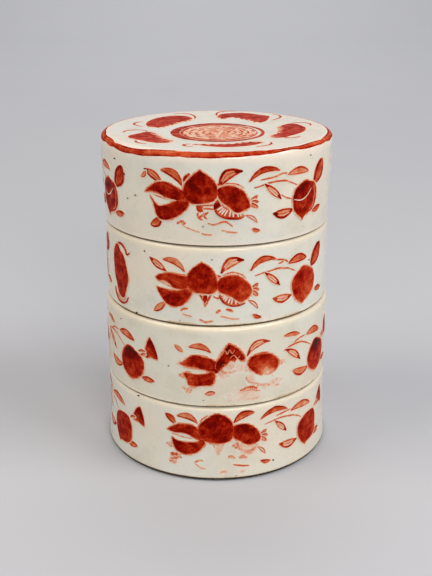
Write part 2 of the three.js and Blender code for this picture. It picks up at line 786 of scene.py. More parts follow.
@dataclass
class DeepLid(PorcelainPiece):
    """The deep cover, with a flat top that sank a little in the kiln."""

    top: float = 4.4
    top_thin: float = 0.2
    top_band: Point = (1.0, 0.5)
    edge_round: float = 2.8
    sag: float = 0.5
    # Creamy band under the lid's red band, wider than on the trays: a painted highlight
    shoulder_thin_and_highlight_band: Point = (5.4, 2.8)

    def corners(self) -> list[Corner]:
        """Gives the lid's profile: hollow, lower rim, outer wall and flat top.

        Returns:
            The profile's corners.
        """
        fit = self.fit
        ceiling = self.height - self.top
        return [
            Corner(0.0, ceiling),
            Corner(fit.recess_radius, ceiling, fit.inside_round),
            Corner(fit.recess_radius, 0.0, fit.rim_round),
            Corner(self.rim_radius, 0.0, fit.rim_round),
            Corner(self.top_radius, self.height, self.edge_round),
            Corner(0.0, self.height),
        ]

    def sunk(self, radius: float) -> float:
        """Gives how far the top lies below its edge at a radius."""
        share = radius / (self.top_radius - self.edge_round)
        return self.sag * max(0.0, 1.0 - share**2) ** 2

    def settle(self, point: Vector) -> None:
        """Moves a point as any piece does, and lets the top sink.

        Args:
            point: The point, in millimetres above the lower rim.
        """
        if point.z > self.height - HAIR:
            point.z -= self.sunk(math.hypot(point.x, point.y))
        super().settle(point)

    def thin(self, radius: float, height: float) -> float:
        """Gives how thin the glaze runs: over the lid's edges, and less so on its flat top; under the band it
        is a painted highlight.

        Args:
            radius: Distance from the axis.
            height: Height above the lower rim.

        Returns:
            0 for full glaze to 1 for the thinnest.
        """
        if radius < self.outside:
            below, above = (self.height - drop for drop in self.top_band)
            return self.top_thin * blend_in(height, below, above)
        return super().thin(radius, height)


class Ground:
    """A surface to paint on: flat drawing coordinates that are wrapped onto a piece."""

    pitch: Point = (1.0, 1.5)

    def place(self, along: float, up: float, lift: float) -> Vector:
        """Gives the point in metres that a drawn point wraps onto."""
        raise NotImplementedError


@dataclass
class WallGround(Ground):
    """A piece's outer wall: along it from the front towards the right, and up from its lower rim."""

    piece: PorcelainPiece

    def place(self, along: float, up: float, lift: float) -> Vector:
        """Wraps a drawn point round the wall.

        Args:
            along: Millimetres along the wall.
            up: Millimetres above the lower rim.
            lift: Millimetres off the glaze.

        Returns:
            The point in metres.
        """
        angle = along / self.piece.top_radius
        radius = self.piece.wall_radius(angle, up) + lift
        return Vector((radius * math.sin(angle), -radius * math.cos(angle), self.piece.seat + up)) * MM


@dataclass
class LidTopGround(Ground):
    """The lid's flat top: to the right, and away from the front."""

    lid: DeepLid
    pitch: Point = (3.0, 3.0)

    def place(self, along: float, up: float, lift: float) -> Vector:
        """Lays a drawn point on the top.

        Args:
            along: Millimetres to the right of the axis.
            up: Millimetres behind the axis.
            lift: Millimetres off the glaze.

        Returns:
            The point in metres.
        """
        height = self.lid.seat + self.lid.height - self.lid.sunk(math.hypot(along, up))
        return Vector((along, up, height + lift)) * MM


@dataclass
class LidEdgeGround(Ground):
    """The lid's rounded edge: along it, and over it from the wall (below 0) to the top (above 0)."""

    lid: DeepLid
    pitch: Point = (1.6, 0.4)

    def place(self, along: float, up: float, lift: float) -> Vector:
        """Bends a drawn point over the edge.

        Args:
            along: Millimetres along the edge.
            up: Millimetres over the edge from the middle of its round.
            lift: Millimetres off the glaze.

        Returns:
            The point in metres.
        """
        lid = self.lid
        angle = along / lid.top_radius
        reach = lid.edge_round * math.pi / 4
        tilt = math.pi / 4 + max(-reach, min(reach, up)) / lid.edge_round
        over, under = max(0.0, up - reach), max(0.0, -reach - up)
        outer = lid.wall_radius(angle, lid.height - lid.edge_round - under)
        radius = outer - lid.edge_round + (lid.edge_round + lift) * math.cos(tilt) - over
        height = lid.height - lid.edge_round + (lid.edge_round + lift) * math.sin(tilt) - under
        return Vector((radius * math.sin(angle), -radius * math.cos(angle), lid.seat + height)) * MM


class Tone(float, Enum):
    """How thickly the enamel is brushed."""

    SCRAPED = 0.0
    GHOST = 0.14
    FAINT = 0.26
    WASH = 0.40
    MID = 0.56
    FULL = 0.68
    DEEP = 0.82
    IRON_SPOT = 1.60


class LeafLook(Enum):
    """How a leaf is filled."""

    FILLED = "filled"
    OUTLINED = "outlined"
    DARK_TIP = "dark tip"
    VEINED = "veined"


class Pool(NamedTuple):
    """A soft spot where the enamel gathered (depth above 0) or wore away (below 0)."""

    at: Point
    reach: float
    depth: float


class Line(NamedTuple):
    """A brush line, which thins towards its ends."""

    points: Outline
    width: float = 0.5
    tone: float = Tone.WASH


class Leaf(NamedTuple):
    """A leaf painted from base to tip."""

    base: Point
    tip: Point
    width: float
    bend: float = 0.0
    look: LeafLook = LeafLook.FILLED
    tone: float = Tone.WASH

    def at(self, share: float, out: float) -> Point:
        """Gives a point of the leaf.

        Args:
            share: Share of its length, from the base.
            out: Share of its half width, to the left of its way.

        Returns:
            The drawn point.
        """
        axis = Vector(self.tip) - Vector(self.base)
        side = Vector((-axis.y, axis.x)).normalized()
        bow = self.bend * axis.length * 4 * share * (1 - share)
        spot = Vector(self.base) + axis * share + side * (0.5 * self.width * out + bow)
        return (spot.x, spot.y)

    def path(self, shape: Sequence[Point]) -> Outline:
        """Gives the drawn points of a shape in shares of the leaf."""
        return tuple(self.at(share, out) for share, out in shape)


# Upper edges of a leaf and of a bell-shaped one, and the dark end of the bell, in shares of the leaf
LEAF_SHAPE = ((0.22, 0.62), (0.52, 1.0), (0.82, 0.66))
BELL_SHAPE = ((0.02, 0.95), (0.36, 0.85), (0.74, 0.5))
BELL_END = ((0.7, -0.5), (0.3, -0.9), (0.06, -0.9), (0.34, -0.3), (0.5, 0.3), (0.3, 0.84), (0.74, 0.5))
BELL_ROOT = 0.08

# A leaf's lower edge beside its upper one: how far it lies back, and how wide it is
LOWER_BACK, LOWER_WIDTH = 0.02, 0.93

# A leaf's vein, and the dabs at its tip and its root
VEIN_SHAPE = ((0.1, -0.1), (0.5, 0.1), (0.9, 0.0))
TIP_DAB = ((0.78, 0.1), (0.9, 0.0), (1.04, 0.0))
ROOT_DAB = ((-0.04, 0.0), (0.08, 0.0), (0.2, 0.1))

# How much of a leaf's tone its fill takes, how that leans, and how soft its parts are
LEAF_FILL = {LeafLook.FILLED: 0.82, LeafLook.VEINED: 0.42, LeafLook.DARK_TIP: 1.0}
LEAF_LEAN: Point = (0.0, 0.08)
LEAF_SOFT, BELL_SOFT, VEIN_SOFT, EDGE_SOFT = 0.3, 0.25, 0.6, 0.5

# Shares of a leaf's width that its edges and its dabs take, and of an edge's width that the upper one takes
OPEN_EDGE, FILLED_EDGE, TIP_WIDTH, ROOT_WIDTH, UPPER_EDGE = 0.26, 0.29, 0.4, 0.36, 1.2

# Millimetres: a vein's width, the least width of an edge, and the width past which a leaf has dabs
VEIN_WIDTH, LEAST_EDGE, DABBED_PAST = 0.6, 0.5, 1.8

# How much darker than the leaf its edges and its boldest strokes are, and the darkest these get
DARKER, BOLDER, BOLDEST = 0.1, 0.3, 0.9


@dataclass(frozen=True)
class Placement:
    """Where a drawing is set on its ground: grown and turned about its pivot, then shifted."""

    shift: Point = (0.0, 0.0)
    turn: float = 0.0
    size: float = 1.0
    pivot: Point = (0.0, 0.0)

    def apply(self, point: Point) -> Point:
        """Moves a drawn point to its place on the ground.

        Args:
            point: The drawn point.

        Returns:
            The placed point.
        """
        across, up = (point[0] - self.pivot[0]) * self.size, (point[1] - self.pivot[1]) * self.size
        cosine, sine = math.cos(self.turn), math.sin(self.turn)
        return (
            self.pivot[0] + self.shift[0] + across * cosine - up * sine,
            self.pivot[1] + self.shift[1] + across * sine + up * cosine,
        )


def smooth_run(points: Sequence[Point], closed: bool, steps: int) -> list[Point]:
    """Draws a smooth curve through a few points; a point given twice is a sharp corner.

    Args:
        points: The points to pass through.
        closed: Whether the last point joins the first.
        steps: Points on each stretch.

    Returns:
        The curve's points, without the first one repeated at a closed end.
    """
    count = len(points)
    knots = [Vector(point) for point in points]
    run: list[Point] = []
    for index in range(count if closed else count - 1):
        start, end = knots[index], knots[(index + 1) % count]
        if (end - start).length < SAME_PLACE:
            continue
        before = knots[index - 1] if closed or index else start
        after = knots[(index + 2) % count] if closed or index + 2 < count else end
        first, second = start + (end - before) / 6, end - (after - start) / 6
        run += [(knot.x, knot.y) for knot in interpolate_bezier(start, first, second, end, steps + 1)[:-1]]
    return run if closed else [*run, points[-1]]


def moved(points: Outline, by: Point) -> Outline:
    """Shifts an outline without turning it."""
    return tuple((point[0] + by[0], point[1] + by[1]) for point in points)


def grown(outline: Sequence[Point], by: float) -> list[Point]:
    """Moves a closed outline outwards.

    Args:
        outline: The outline's points.
        by: How far it moves.

    Returns:
        The wider outline.
    """
    ahead = [*outline[1:], outline[0]]
    turning = sum(point[0] * after[1] - after[0] * point[1] for point, after in zip(outline, ahead))
    side = math.copysign(by, turning)
    wider = []
    for before, point, after in zip([outline[-1], *outline], outline, ahead):
        way = Vector((after[0] - before[0], after[1] - before[1])).normalized()
        wider.append((point[0] + way.y * side, point[1] - way.x * side))
    return wider


def centre(points: Sequence[Point]) -> Point:
    """Gives the mean of some points."""
    return tuple(sum(point[axis] for point in points) / len(points) for axis in (0, 1))


def between(first: Point, second: Point, share: float) -> Point:
    """Gives the point at a share of the way from one point to another."""
    return tuple(first[axis] + share * (second[axis] - first[axis]) for axis in (0, 1))


def set_down(ring: Outline, reach: Point, at: Point) -> Outline:
    """Stretches a ring of about 1 in reach, and sets it down round a point."""
    return tuple((reach[0] * x + at[0], reach[1] * y + at[1]) for x, y in ring)


def points_of(parts: Sequence[object]) -> list[bmesh.types.BMVert]:
    """Picks the points out of what a mesh operator made."""
    return [part for part in parts if isinstance(part, bmesh.types.BMVert)]


# A brush line: its width with the brush lifted and what pressing adds, and how the pressure runs
LIFTED, PRESSED = 0.2, 0.8
PRESS_START, PRESS_RUN, PRESS_RISE = 0.06, 0.92, 0.6


def swell(share: float) -> float:
    """Gives a brush line's width at a share of its length, as a share of its full width."""
    return LIFTED + PRESSED * math.sin(math.pi * (PRESS_START + PRESS_RUN * share)) ** PRESS_RISE


# Direction of the brush where nothing else is said, in radians, and a film that leans to no side
SLANT = 0.4
EVEN: Point = (0.0, 0.0)

# How much a film's thickness varies, how fast per millimetre and per film, and the same for worn spots
UNEVEN, UNEVEN_SCALE, FILM_STEP = 0.07, 0.21, 3.7
PATCHY, PATCHY_SCALE = 0.9, 0.5

# Least half size that a film's lean is reckoned over, in millimetres
NARROWEST = 0.1


class Film(NamedTuple):
    """How one film is brushed: its tone, its middle and half size, and where it is thicker."""

    tone: float
    middle: Point
    reach: Point
    lean: Point
    pools: Sequence[Pool]
    grain: float
    soft: float

    def depth_at(self, point: Sequence[float], number: int) -> float:
        """Gives how thick the enamel lies at a drawn point.

        Args:
            point: The point in drawing coordinates.
            number: The film's number, which varies the hand.

        Returns:
            The thickness, from 0 for none.
        """
        along, up = point[0], point[1]
        depth = self.tone
        for axis in (0, 1):
            away = point[axis] - self.middle[axis]
            depth += self.lean[axis] * away / max(self.reach[axis], NARROWEST)
        spot = Vector((UNEVEN_SCALE * along, UNEVEN_SCALE * up, FILM_STEP * number))
        depth += UNEVEN * noise.noise(spot)
        for pool in self.pools:
            share = blend_in(math.hypot(along - pool.at[0], up - pool.at[1]), pool.reach, 0.0)
            patchy = 1.0
            if pool.depth <= 0:
                patchy += PATCHY * noise.noise(Vector((PATCHY_SCALE * along, PATCHY_SCALE * up, number)))
            depth += pool.depth * share * patchy
        return max(0.0, depth)


class EnamelCoat:
    """Gathers the enamel films of one ground into one mesh, each closed and a little above the last."""

    base_lift = 0.040
    step_lift = 0.0024
    sink = 0.060
    cut_weld = 1e-4
    stroke_step = 5.7
    sharp = 35.0

    def __init__(self, name: str, ground: Ground, seed: int) -> None:
        """Starts an empty coat.

        Args:
            name: The coat's name.
            ground: What it is painted on.
            seed: Start of its random draws.
        """
        self.name = name
        self.ground = ground
        self.chance = random.Random(seed)
        self.films = 0
        self.level = 0
        self.mesh = bmesh.new()
        self.depths: list[float] = []
        self.strokes: list[float] = []

    def lay(self, outline: Sequence[Point], placement: Placement, film: Film) -> None:
        """Lays one closed film.

        Args:
            outline: Its edge in drawing coordinates.
            placement: Where the drawing is set.
            film: How it is brushed.
        """
        flat = bmesh.new()
        source = flat.verts.layers.float_vector.new("source")
        edge = flat.verts.layers.float.new("edge")
        corners = []
        for point in outline:
            vert = flat.verts.new((*placement.apply(point), 0.0))
            vert[source] = (*point, 0.0)
            corners.append(vert)
        flat.faces.new(corners)
        self.cut(flat)
        if film.soft:
            self.open_middle(flat, source)
        for vert in flat.verts:
            vert[edge] = float(vert.is_boundary)
        raised = bmesh.ops.extrude_face_region(flat, geom=flat.faces[:])["geom"]
        bmesh.ops.translate(flat, verts=points_of(raised), vec=(0.0, 0.0, 1.0))
        self.films += 1
        self.level += 1
        lift = self.base_lift + self.level * self.step_lift
        cosine, sine = math.cos(film.grain), math.sin(film.grain)
        for vert in flat.verts:
            along, up, top = vert.co
            self.depths.append(film.depth_at(vert[source], self.films) * (1.0 - film.soft * vert[edge]))
            stroke = (along * cosine + up * sine, up * cosine - along * sine)
            self.strokes += (*stroke, self.stroke_step * self.films)
            vert.co = self.ground.place(along, up, lift if top > 0.5 else -self.sink)
        bmesh.ops.recalc_face_normals(flat, faces=flat.faces[:])
        mesh = bpy.data.meshes.new("film")
        flat.to_mesh(mesh)
        flat.free()
        self.mesh.from_mesh(mesh)
        bpy.data.meshes.remove(mesh)

    def cut(self, flat: Mesh) -> None:
        """Cuts a flat film into cells that can follow the ground.

        Args:
            flat: The film.
        """
        for axis, pitch in enumerate(self.ground.pitch):
            normal = Vector((1.0, 0.0, 0.0)) if axis == 0 else Vector((0.0, 1.0, 0.0))
            reach = [vert.co[axis] for vert in flat.verts]
            for step in range(math.ceil(min(reach) / pitch), math.floor(max(reach) / pitch) + 1):
                bmesh.ops.bisect_plane(
                    flat, geom=flat.verts[:] + flat.edges[:] + flat.faces[:], dist=self.cut_weld,
                    plane_co=normal * step * pitch, plane_no=normal,
                )

    def open_middle(self, flat: Mesh, source: bmesh.types.BMLayerItem) -> None:
        """Adds points inside a flat film, so that it can be thicker there than at its edge.

        Args:
            flat: The film.
            source: Its layer of drawing coordinates.
        """
        inner = [edge for edge in flat.edges if not edge.is_boundary]
        across = [edge for edge in inner if all(vert.is_boundary for vert in edge.verts)]
        bmesh.ops.subdivide_edges(flat, edges=across, cuts=1)
        for middle in bmesh.ops.poke(flat, faces=flat.faces[:])["verts"]:
            ends = [edge.other_vert(middle)[source] for edge in middle.link_edges]
            middle[source] = sum(ends, Vector((0.0, 0.0, 0.0))) / len(ends)

    def finish(self, body: str, enamel: bpy.types.Material) -> bpy.types.Object:
        """Makes the coat's piece.

        Args:
            body: The body that it rides on.
            enamel: Its material.

        Returns:
            The piece.
        """
        piece = finished_piece(self.name, self.mesh, enamel, self.sharp)
        layers = piece.data.attributes
        layers.new("film_depth", "FLOAT", "POINT").data.foreach_set("value", self.depths)
        layers.new("brush", "FLOAT_VECTOR", "POINT").data.foreach_set("vector", self.strokes)
        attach(piece, body)
        return piece


@dataclass
class Brush:
    """A painter's hand on one coat: sets drawings down at one placement."""

    coat: EnamelCoat
    placement: Placement = field(default_factory=Placement)
    pools: Sequence[Pool] = ()
    tremble: float = 0.12
    bleed: float = 0.65
    bleed_load: float = 0.36
    bleed_soft: float = 0.9
    edge_steps: int = 5
    line_steps: int = 6
    waver: float = 0.18
    waver_pitch: float = 0.7

    def seam(self, points: Outline, tone: float) -> None:
        """Lays the soft seam that bled out round a wash."""
        edge = grown(smooth_run(points, True, self.edge_steps), self.bleed)
        self.fill(edge, self.bleed_load * tone, soft=self.bleed_soft)

    def wash(
        self, points: Outline, tone: float, lean: Point = EVEN, grain: float = SLANT, soft: float = 0.0,
    ) -> None:
        """Fills a smooth outline with an unsteady hand.

        Args:
            points: The outline's points; one given twice is a sharp tip.
            tone: How thickly it is filled.
            lean: How much thicker towards the right and the top.
            grain: Direction of the brush, in radians.
            soft: How much thinner it runs out at its edge.
        """
        chance = self.coat.chance
        shaken = [points[0]]
        for before, point in zip(points, points[1:]):
            stir = (chance.uniform(-1, 1) * self.tremble, chance.uniform(-1, 1) * self.tremble)
            shaken.append(shaken[-1] if point == before else (point[0] + stir[0], point[1] + stir[1]))
        self.fill(smooth_run(shaken, True, self.edge_steps), tone, lean, grain, soft)

    def fill(
        self, outline: Sequence[Point], tone: float, lean: Point = EVEN, grain: float = SLANT,
        soft: float = 0.0,
    ) -> None:
        """Lays a film inside a finished outline.

        Args:
            outline: The outline's points.
            tone: How thickly it is filled.
            lean: How much thicker towards the right and the top.
            grain: Direction of the brush, in radians.
            soft: How much thinner it runs out at its edge.
        """
        low = [min(point[axis] for point in outline) for axis in (0, 1)]
        high = [max(point[axis] for point in outline) for axis in (0, 1)]
        middle = tuple((a + b) / 2 for a, b in zip(low, high))
        reach = tuple((b - a) / 2 for a, b in zip(low, high))
        film = Film(float(tone), middle, reach, lean, self.pools, grain, soft)
        self.coat.lay(outline, self.placement, film)

    def line(self, line: Line, soft: float = 0.0) -> None:
        """Draws one brush line, with a width that swells and thins.

        Args:
            line: The line.
            soft: How much thinner it runs out at its edges.
        """
        run = smooth_run(line.points, False, self.line_steps)
        last = len(run) - 1
        phase = self.coat.chance.uniform(0.0, 20.0)
        left, right = [], []
        for index, point in enumerate(run):
            before, after = run[max(0, index - 1)], run[min(last, index + 1)]
            way = Vector((after[0] - before[0], after[1] - before[1])).normalized()
            shake = noise.noise(Vector((phase + self.waver_pitch * index, 0.0, 0.0)))
            half = 0.5 * line.width * swell(index / last) * (1.0 + self.waver * shake)
            left.append((point[0] - way.y * half, point[1] + way.x * half))
            right.append((point[0] + way.y * half, point[1] - way.x * half))
        chord = (run[-1][0] - run[0][0], run[-1][1] - run[0][1])
        self.fill([*left, *reversed(right)], line.tone, grain=math.atan2(chord[1], chord[0]), soft=soft)

    def leaf(self, leaf: Leaf) -> None:
        """Paints one leaf: its fill, its two edges, and its vein or dark end.

        Args:
            leaf: The leaf.
        """
        bell = leaf.look is LeafLook.DARK_TIP
        outlined = leaf.look is LeafLook.OUTLINED
        shape = BELL_SHAPE if bell else LEAF_SHAPE
        upper = leaf.path(shape)
        lower = leaf.path([(share - LOWER_BACK, -LOWER_WIDTH * out) for share, out in reversed(shape)])
        root, end = leaf.at(BELL_ROOT if bell else 0.0, 0.0), leaf.at(1.0, 0.0)
        axis = Vector(leaf.tip) - Vector(leaf.base)
        grain = math.atan2(axis.y, axis.x)
        if not outlined:
            edge = (root, root, *upper, end, end, *lower)
            self.seam(edge, leaf.tone)
            self.wash(edge, LEAF_FILL[leaf.look] * leaf.tone, LEAF_LEAN, grain, LEAF_SOFT)
        if bell:
            self.wash((end, end, *leaf.path(BELL_END)), Tone.DEEP + 0.04, grain=grain, soft=BELL_SOFT)
            return
        if leaf.look is LeafLook.VEINED:
            self.line(Line(leaf.path(VEIN_SHAPE), VEIN_WIDTH, leaf.tone), VEIN_SOFT)
        dark, bold = leaf.tone + DARKER, min(BOLDEST, leaf.tone + BOLDER)
        width = max(LEAST_EDGE, (OPEN_EDGE if outlined else FILLED_EDGE) * leaf.width)
        self.line(Line((root, *upper, end), UPPER_EDGE * width, dark if outlined else bold), EDGE_SOFT)
        self.line(Line((root, *reversed(lower), end), width, dark), EDGE_SOFT)
        if leaf.look is not LeafLook.FILLED and leaf.width > DABBED_PAST:
            self.line(Line(leaf.path(TIP_DAB), TIP_WIDTH * leaf.width, bold))
            self.line(Line(leaf.path(ROOT_DAB), ROOT_WIDTH * leaf.width, bold))


# An uneven blot, about 1 in reach
BLOT = ((-1.4, 0.1), (-0.5, 0.8), (0.9, 0.7), (1.3, -0.2), (0.3, -0.9), (-0.8, -0.7))


class Mottle(Pool):
    """A round patch of worn paint: a wash that thins outwards, and soft spots on it.

    The spots lie on a few levels in turn, crowd towards the middle and keep off the lower rim.
    """

    levels = 4
    wash_share = 0.75
    rim_room = 2.0
    spots_per_mm = 2.4
    crowding = 0.7
    flatness = 0.6
    lowest_spot = 3.4
    spot_sizes = (0.35, 1.15)
    spot_loads = (0.4, 1.1)
    spot_steps = 2

    def dab(self, coat: EnamelCoat, placement: Placement) -> None:
        """Dabs the patch.

        Args:
            coat: The coat to add to.
            placement: Where the drawing is set.
        """
        chance = coat.chance
        wide = self.wash_share * self.reach
        patch = set_down(BLOT, (wide, min(wide, self.at[1] - self.rim_room)), self.at)
        Brush(coat, placement, (self,)).wash(patch, Tone.SCRAPED, soft=1.0)
        first = coat.level
        for index in range(round(self.spots_per_mm * self.reach)):
            coat.level = first + index % self.levels
            angle = chance.uniform(0.0, math.tau)
            away = self.reach * chance.uniform(0.0, 1.0) ** self.crowding
            size = chance.uniform(*self.spot_sizes)
            up = max(self.lowest_spot, self.at[1] + self.flatness * away * math.sin(angle))
            spot = set_down(BLOT, (size, size), (self.at[0] + away * math.cos(angle), up))
            tone = self.depth * chance.uniform(*self.spot_loads)
            edge = smooth_run(spot, True, self.spot_steps)
            Brush(coat, placement).fill(edge, tone, grain=angle, soft=1.0)
        coat.level = first


@dataclass(frozen=True)
class FruitSpray:
    """One painted spray: a split fruit, a peach and a pomegranate, with a fruiting twig beside them."""

    split_upper: Outline
    split_lower: Outline
    peach: Outline
    pomegranate: Outline
    opening: Outline
    crown: Outline
    fruit: Outline
    leaves: tuple[Leaf, ...]
    lines: tuple[Line, ...]
    pools: tuple[Pool, ...] = ()
    scratches: tuple[Line, ...] = ()
    mottles: tuple[Mottle, ...] = ()
    middle: Point = (10.0, 19.0)
    load: float = 0.0
    teeth: int = 9
    tooth_reach: Point = (0.1, 0.42)
    ragged: float = 0.18
    feather: float = 0.35
    line_spread: float = 2.2
    line_load: float = 1.2
    line_soft: float = 0.9
    crown_width: float = 1.4
    bridge_width: float = 7.0
    seed_width: float = 0.7

    def paint(self, coat: EnamelCoat, placement: Placement) -> None:
        """Paints the spray, lighter work first.

        Args:
            coat: The coat to add to.
            placement: Where the spray is set.
        """
        coat.level = 0
        brush = Brush(coat, placement, self.pools, self.ragged)
        # Outline, tone, lean and direction of the brush
        bodies = (
            (self.pomegranate, Tone.DEEP, (-0.04, 0.05), 0.9),
            (self.split_upper, Tone.DEEP + 0.02, (-0.06, -0.04), 2.9),
            (self.split_lower, Tone.DEEP + 0.02, (-0.04, -0.06), 0.4),
            (self.peach, Tone.DEEP + 0.04, (-0.03, 0.07), 1.2),
            (self.fruit, Tone.DEEP - 0.04, (-0.05, 0.06), 1.9),
        )
        for mottle in self.mottles:
            mottle.dab(coat, placement)
        coat.level += Mottle.levels
        for line in self.lines:
            spread = Line(line.points, self.line_spread * line.width, self.line_load * line.tone)
            brush.line(spread, self.line_soft)
        for leaf in self.leaves:
            brush.leaf(leaf)
        if self.teeth:
            brush.line(Line((centre(self.peach), centre(self.pomegranate)), self.bridge_width, Tone.MID))
        self.paint_seeds(brush)
        for outline, tone, *_ in bodies:
            brush.seam(outline, tone)
        for outline, tone, lean, grain in bodies:
            brush.wash(outline, tone + self.load, lean, grain, self.feather)
        for scratch in self.scratches:
            brush.line(scratch)

    def paint_seeds(self, brush: Brush) -> None:
        """Paints the pomegranate's crown and the seeds of its burst side.

        Args:
            brush: The spray's brush.
        """
        root, *tips = self.crown
        for tip in tips:
            brush.leaf(Leaf(root, tip, self.crown_width))
        middle = centre(self.pomegranate)
        burst = (self.opening[0], *self.opening, self.opening[-1], middle)
        fill, soft, rim = (Tone.MID - 0.06, 0.5, Tone.FULL) if self.teeth else (Tone.GHOST, 1.0, Tone.FAINT)
        brush.wash(burst, fill, soft=soft)
        run = smooth_run(self.opening, False, 8)
        for index in range(self.teeth):
            foot = run[round((index + 0.7) / self.teeth * (len(run) - 1))]
            tooth = tuple(between(foot, middle, share) for share in self.tooth_reach)
            brush.line(Line(tooth, self.seed_width, Tone.SCRAPED + 0.06))
        brush.line(Line(self.opening, self.seed_width, rim))


LID_SPRAY = FruitSpray(
    split_upper=(
        (-31.2, 20.7), (-31.2, 20.7), (-28.1, 23.6), (-25.3, 25.2), (-21.8, 25.8), (-18.3, 25),
        (-15.5, 23.8), (-12.4, 22), (-11.4, 19.6), (-13.6, 18.4), (-17.4, 19), (-19.7, 19.2),
        (-21.8, 19.9), (-24.6, 21), (-27.2, 21.3),
    ),
    split_lower=(
        (-28.5, 19.6), (-28.5, 19.6), (-27, 17), (-26.3, 14), (-25.3, 11.6), (-23.5, 10.1),
        (-21.1, 10.2), (-17.9, 11.2), (-14.8, 13), (-12.7, 15.1), (-11.3, 17.4), (-11.8, 19.2),
        (-14.6, 19.2), (-17.6, 18.2), (-19.7, 17), (-22, 16), (-24.6, 15.9), (-26.4, 17.2),
    ),
    peach=(
        (-6.7, 31.6), (-6.7, 31.6), (-8.8, 30.1), (-10.6, 28.4), (-12.3, 26.3), (-13.5, 24),
        (-13.6, 21), (-11.6, 18.4), (-8.2, 17.9), (-4.3, 18.4), (-1.5, 19), (0, 20.9), (0.2, 23.4),
        (-0.3, 25.6), (-1.3, 27.5), (-3.1, 29.2), (-5, 30.5),
    ),
    pomegranate=(
        (0.4, 24), (2, 24.9), (5.5, 25.2), (8.3, 24.5), (10.4, 23.1), (12.2, 20.7), (13.3, 18.2),
        (13.2, 16.1), (11.5, 15.1), (9, 14.2), (6.9, 14.7), (4.8, 16.5), (2.7, 18.2), (0.8, 20.3),
        (0, 22.1),
    ),
    opening=((-0.8, 15.4), (0.3, 13.7), (2.7, 12.3), (6.2, 11.6), (9.7, 11.7), (11.3, 12.7)),
    crown=((13.1, 17.9), (16.6, 20.6), (17, 18.2), (16.8, 15.6)),
    fruit=(
        (39.5, 7.4), (39.5, 7.4), (38.1, 8.9), (36.4, 10.2), (34.3, 12.6), (33.6, 15.8), (33.8, 18.9),
        (35, 21.4), (37.8, 23.2), (40.6, 23.8), (44.1, 22.9), (46.5, 22.1), (48.3, 19.6), (48.8, 16.5),
        (48.3, 13.7), (46.2, 10.9), (43.4, 9.6), (40.9, 8.9),
    ),
    leaves=(
        Leaf((-22.8, 25), (-30.9, 30), 2.8, -0.08, LeafLook.VEINED, Tone.MID),
        Leaf((-30.2, 29.4), (-32.8, 26.6), 1.4, 0.1),
        Leaf((-14, 24.8), (-23.2, 30.6), 2.8, -0.2, tone=Tone.MID),
        Leaf((1, 24.6), (9.8, 31), 3.4, 0.2, LeafLook.VEINED, Tone.MID),
        Leaf((-23.4, 11.2), (-28.8, 7), 3.0, 0.1, tone=Tone.MID),
        Leaf((11.6, 12.8), (16.8, 9.3), 1.2, 0.12, LeafLook.OUTLINED),
        Leaf((14.6, 7), (17.9, 6), 1.3, -0.1, tone=Tone.MID),
        Leaf((13, 26.4), (26.3, 30), 2.0, 0.2, tone=Tone.FULL),
        Leaf((30.2, 27.7), (42.2, 27.5), 2.6, 0.09),
        Leaf((19.8, 25), (27.2, 18.4), 2.3, 0.0, LeafLook.VEINED),
        Leaf((47, 21.6), (53.2, 30.8), 5.6, -0.06, tone=Tone.FULL),
        Leaf((33.6, 12.9), (24, 12.4), 3.4, 0.08, LeafLook.VEINED, Tone.MID),
        Leaf((46.2, 9.8), (53, 10.9), 2.2, -0.04, tone=Tone.MID),
    ),
    lines=(
        Line(((-27.4, 20.2), (-22, 18.9), (-18.2, 18.9)), 0.4, Tone.FAINT),
        Line(((-13.6, 26.4), (-12.2, 28.6), (-10.6, 29.9)), 0.8, Tone.MID),
        Line(((0.6, 25.7), (4, 26.2), (8, 25.8), (11.2, 24)), 0.35),
        Line(((-6.6, 18.4), (-6.8, 16.4), (-6.2, 14.2)), 1.5, Tone.MID),
        Line(((-6.2, 17.2), (-3.4, 17.2), (-1, 17.4))),
        Line(((-5.8, 15.8), (-3.2, 15.9), (-1, 15.6))),
        Line(((-7.6, 14.4), (-7.4, 12.2), (-5.6, 11)), 0.6),
        Line(((-7.8, 12), (-5.6, 13), (-3.2, 14.6)), 0.6, Tone.MID),
        Line(((-5.2, 14.4), (-5, 12.6), (-3.6, 11.4))),
        Line(((1.4, 18.1), (0.4, 17.2), (0.8, 15.9), (2, 15.7)), 1.7, Tone.FULL),
        Line(((-16.8, 9), (-14.8, 9.9), (-13.2, 9.6), (-14.6, 8.6)), 0.7),
        Line(((-14.1, 8.3), (-9.9, 6.8), (-6.7, 6)), 0.4, Tone.FAINT),
        Line(((-6.4, 5.6), (-4.6, 5.1), (-1.8, 5)), 0.5, Tone.FAINT),
        Line(((-3.8, 9.9), (-1.8, 9.4), (0, 9.6), (3.4, 10.5), (5.5, 9.2), (6.7, 8.2))),
        Line(((1.7, 7), (5.5, 6.2), (8.8, 5.6)), 0.5, Tone.FAINT),
        Line(((17.8, 26.8), (21, 27.3), (25.2, 27.8), (28, 28.7), (30.4, 28.2))),
        Line((
            (15, 23.8), (18.2, 24.5), (21.7, 25.3), (25.2, 25.7), (29.4, 25.4), (32.5, 24.2),
            (36.4, 22.4),
        )),
        Line(((27.2, 20), (30.1, 18.3), (33.4, 17.2)), 0.4),
    ),
    pools=(
        Pool((-9, 25), 6.0, 0.04), Pool((-4, 20), 5.0, -0.12), Pool((39, 21), 5.0, 0.1),
        Pool((3, 23), 4.0, -0.08),
    ),
    scratches=(
        Line(((34, 16.9), (38, 16), (41.5, 17), (44.8, 20)), 0.5, Tone.SCRAPED + 0.1),
        Line(((46.6, 20.8), (47.2, 16.5), (46.2, 12.4), (43.8, 10.6)), 0.4, Tone.FAINT),
    ),
)


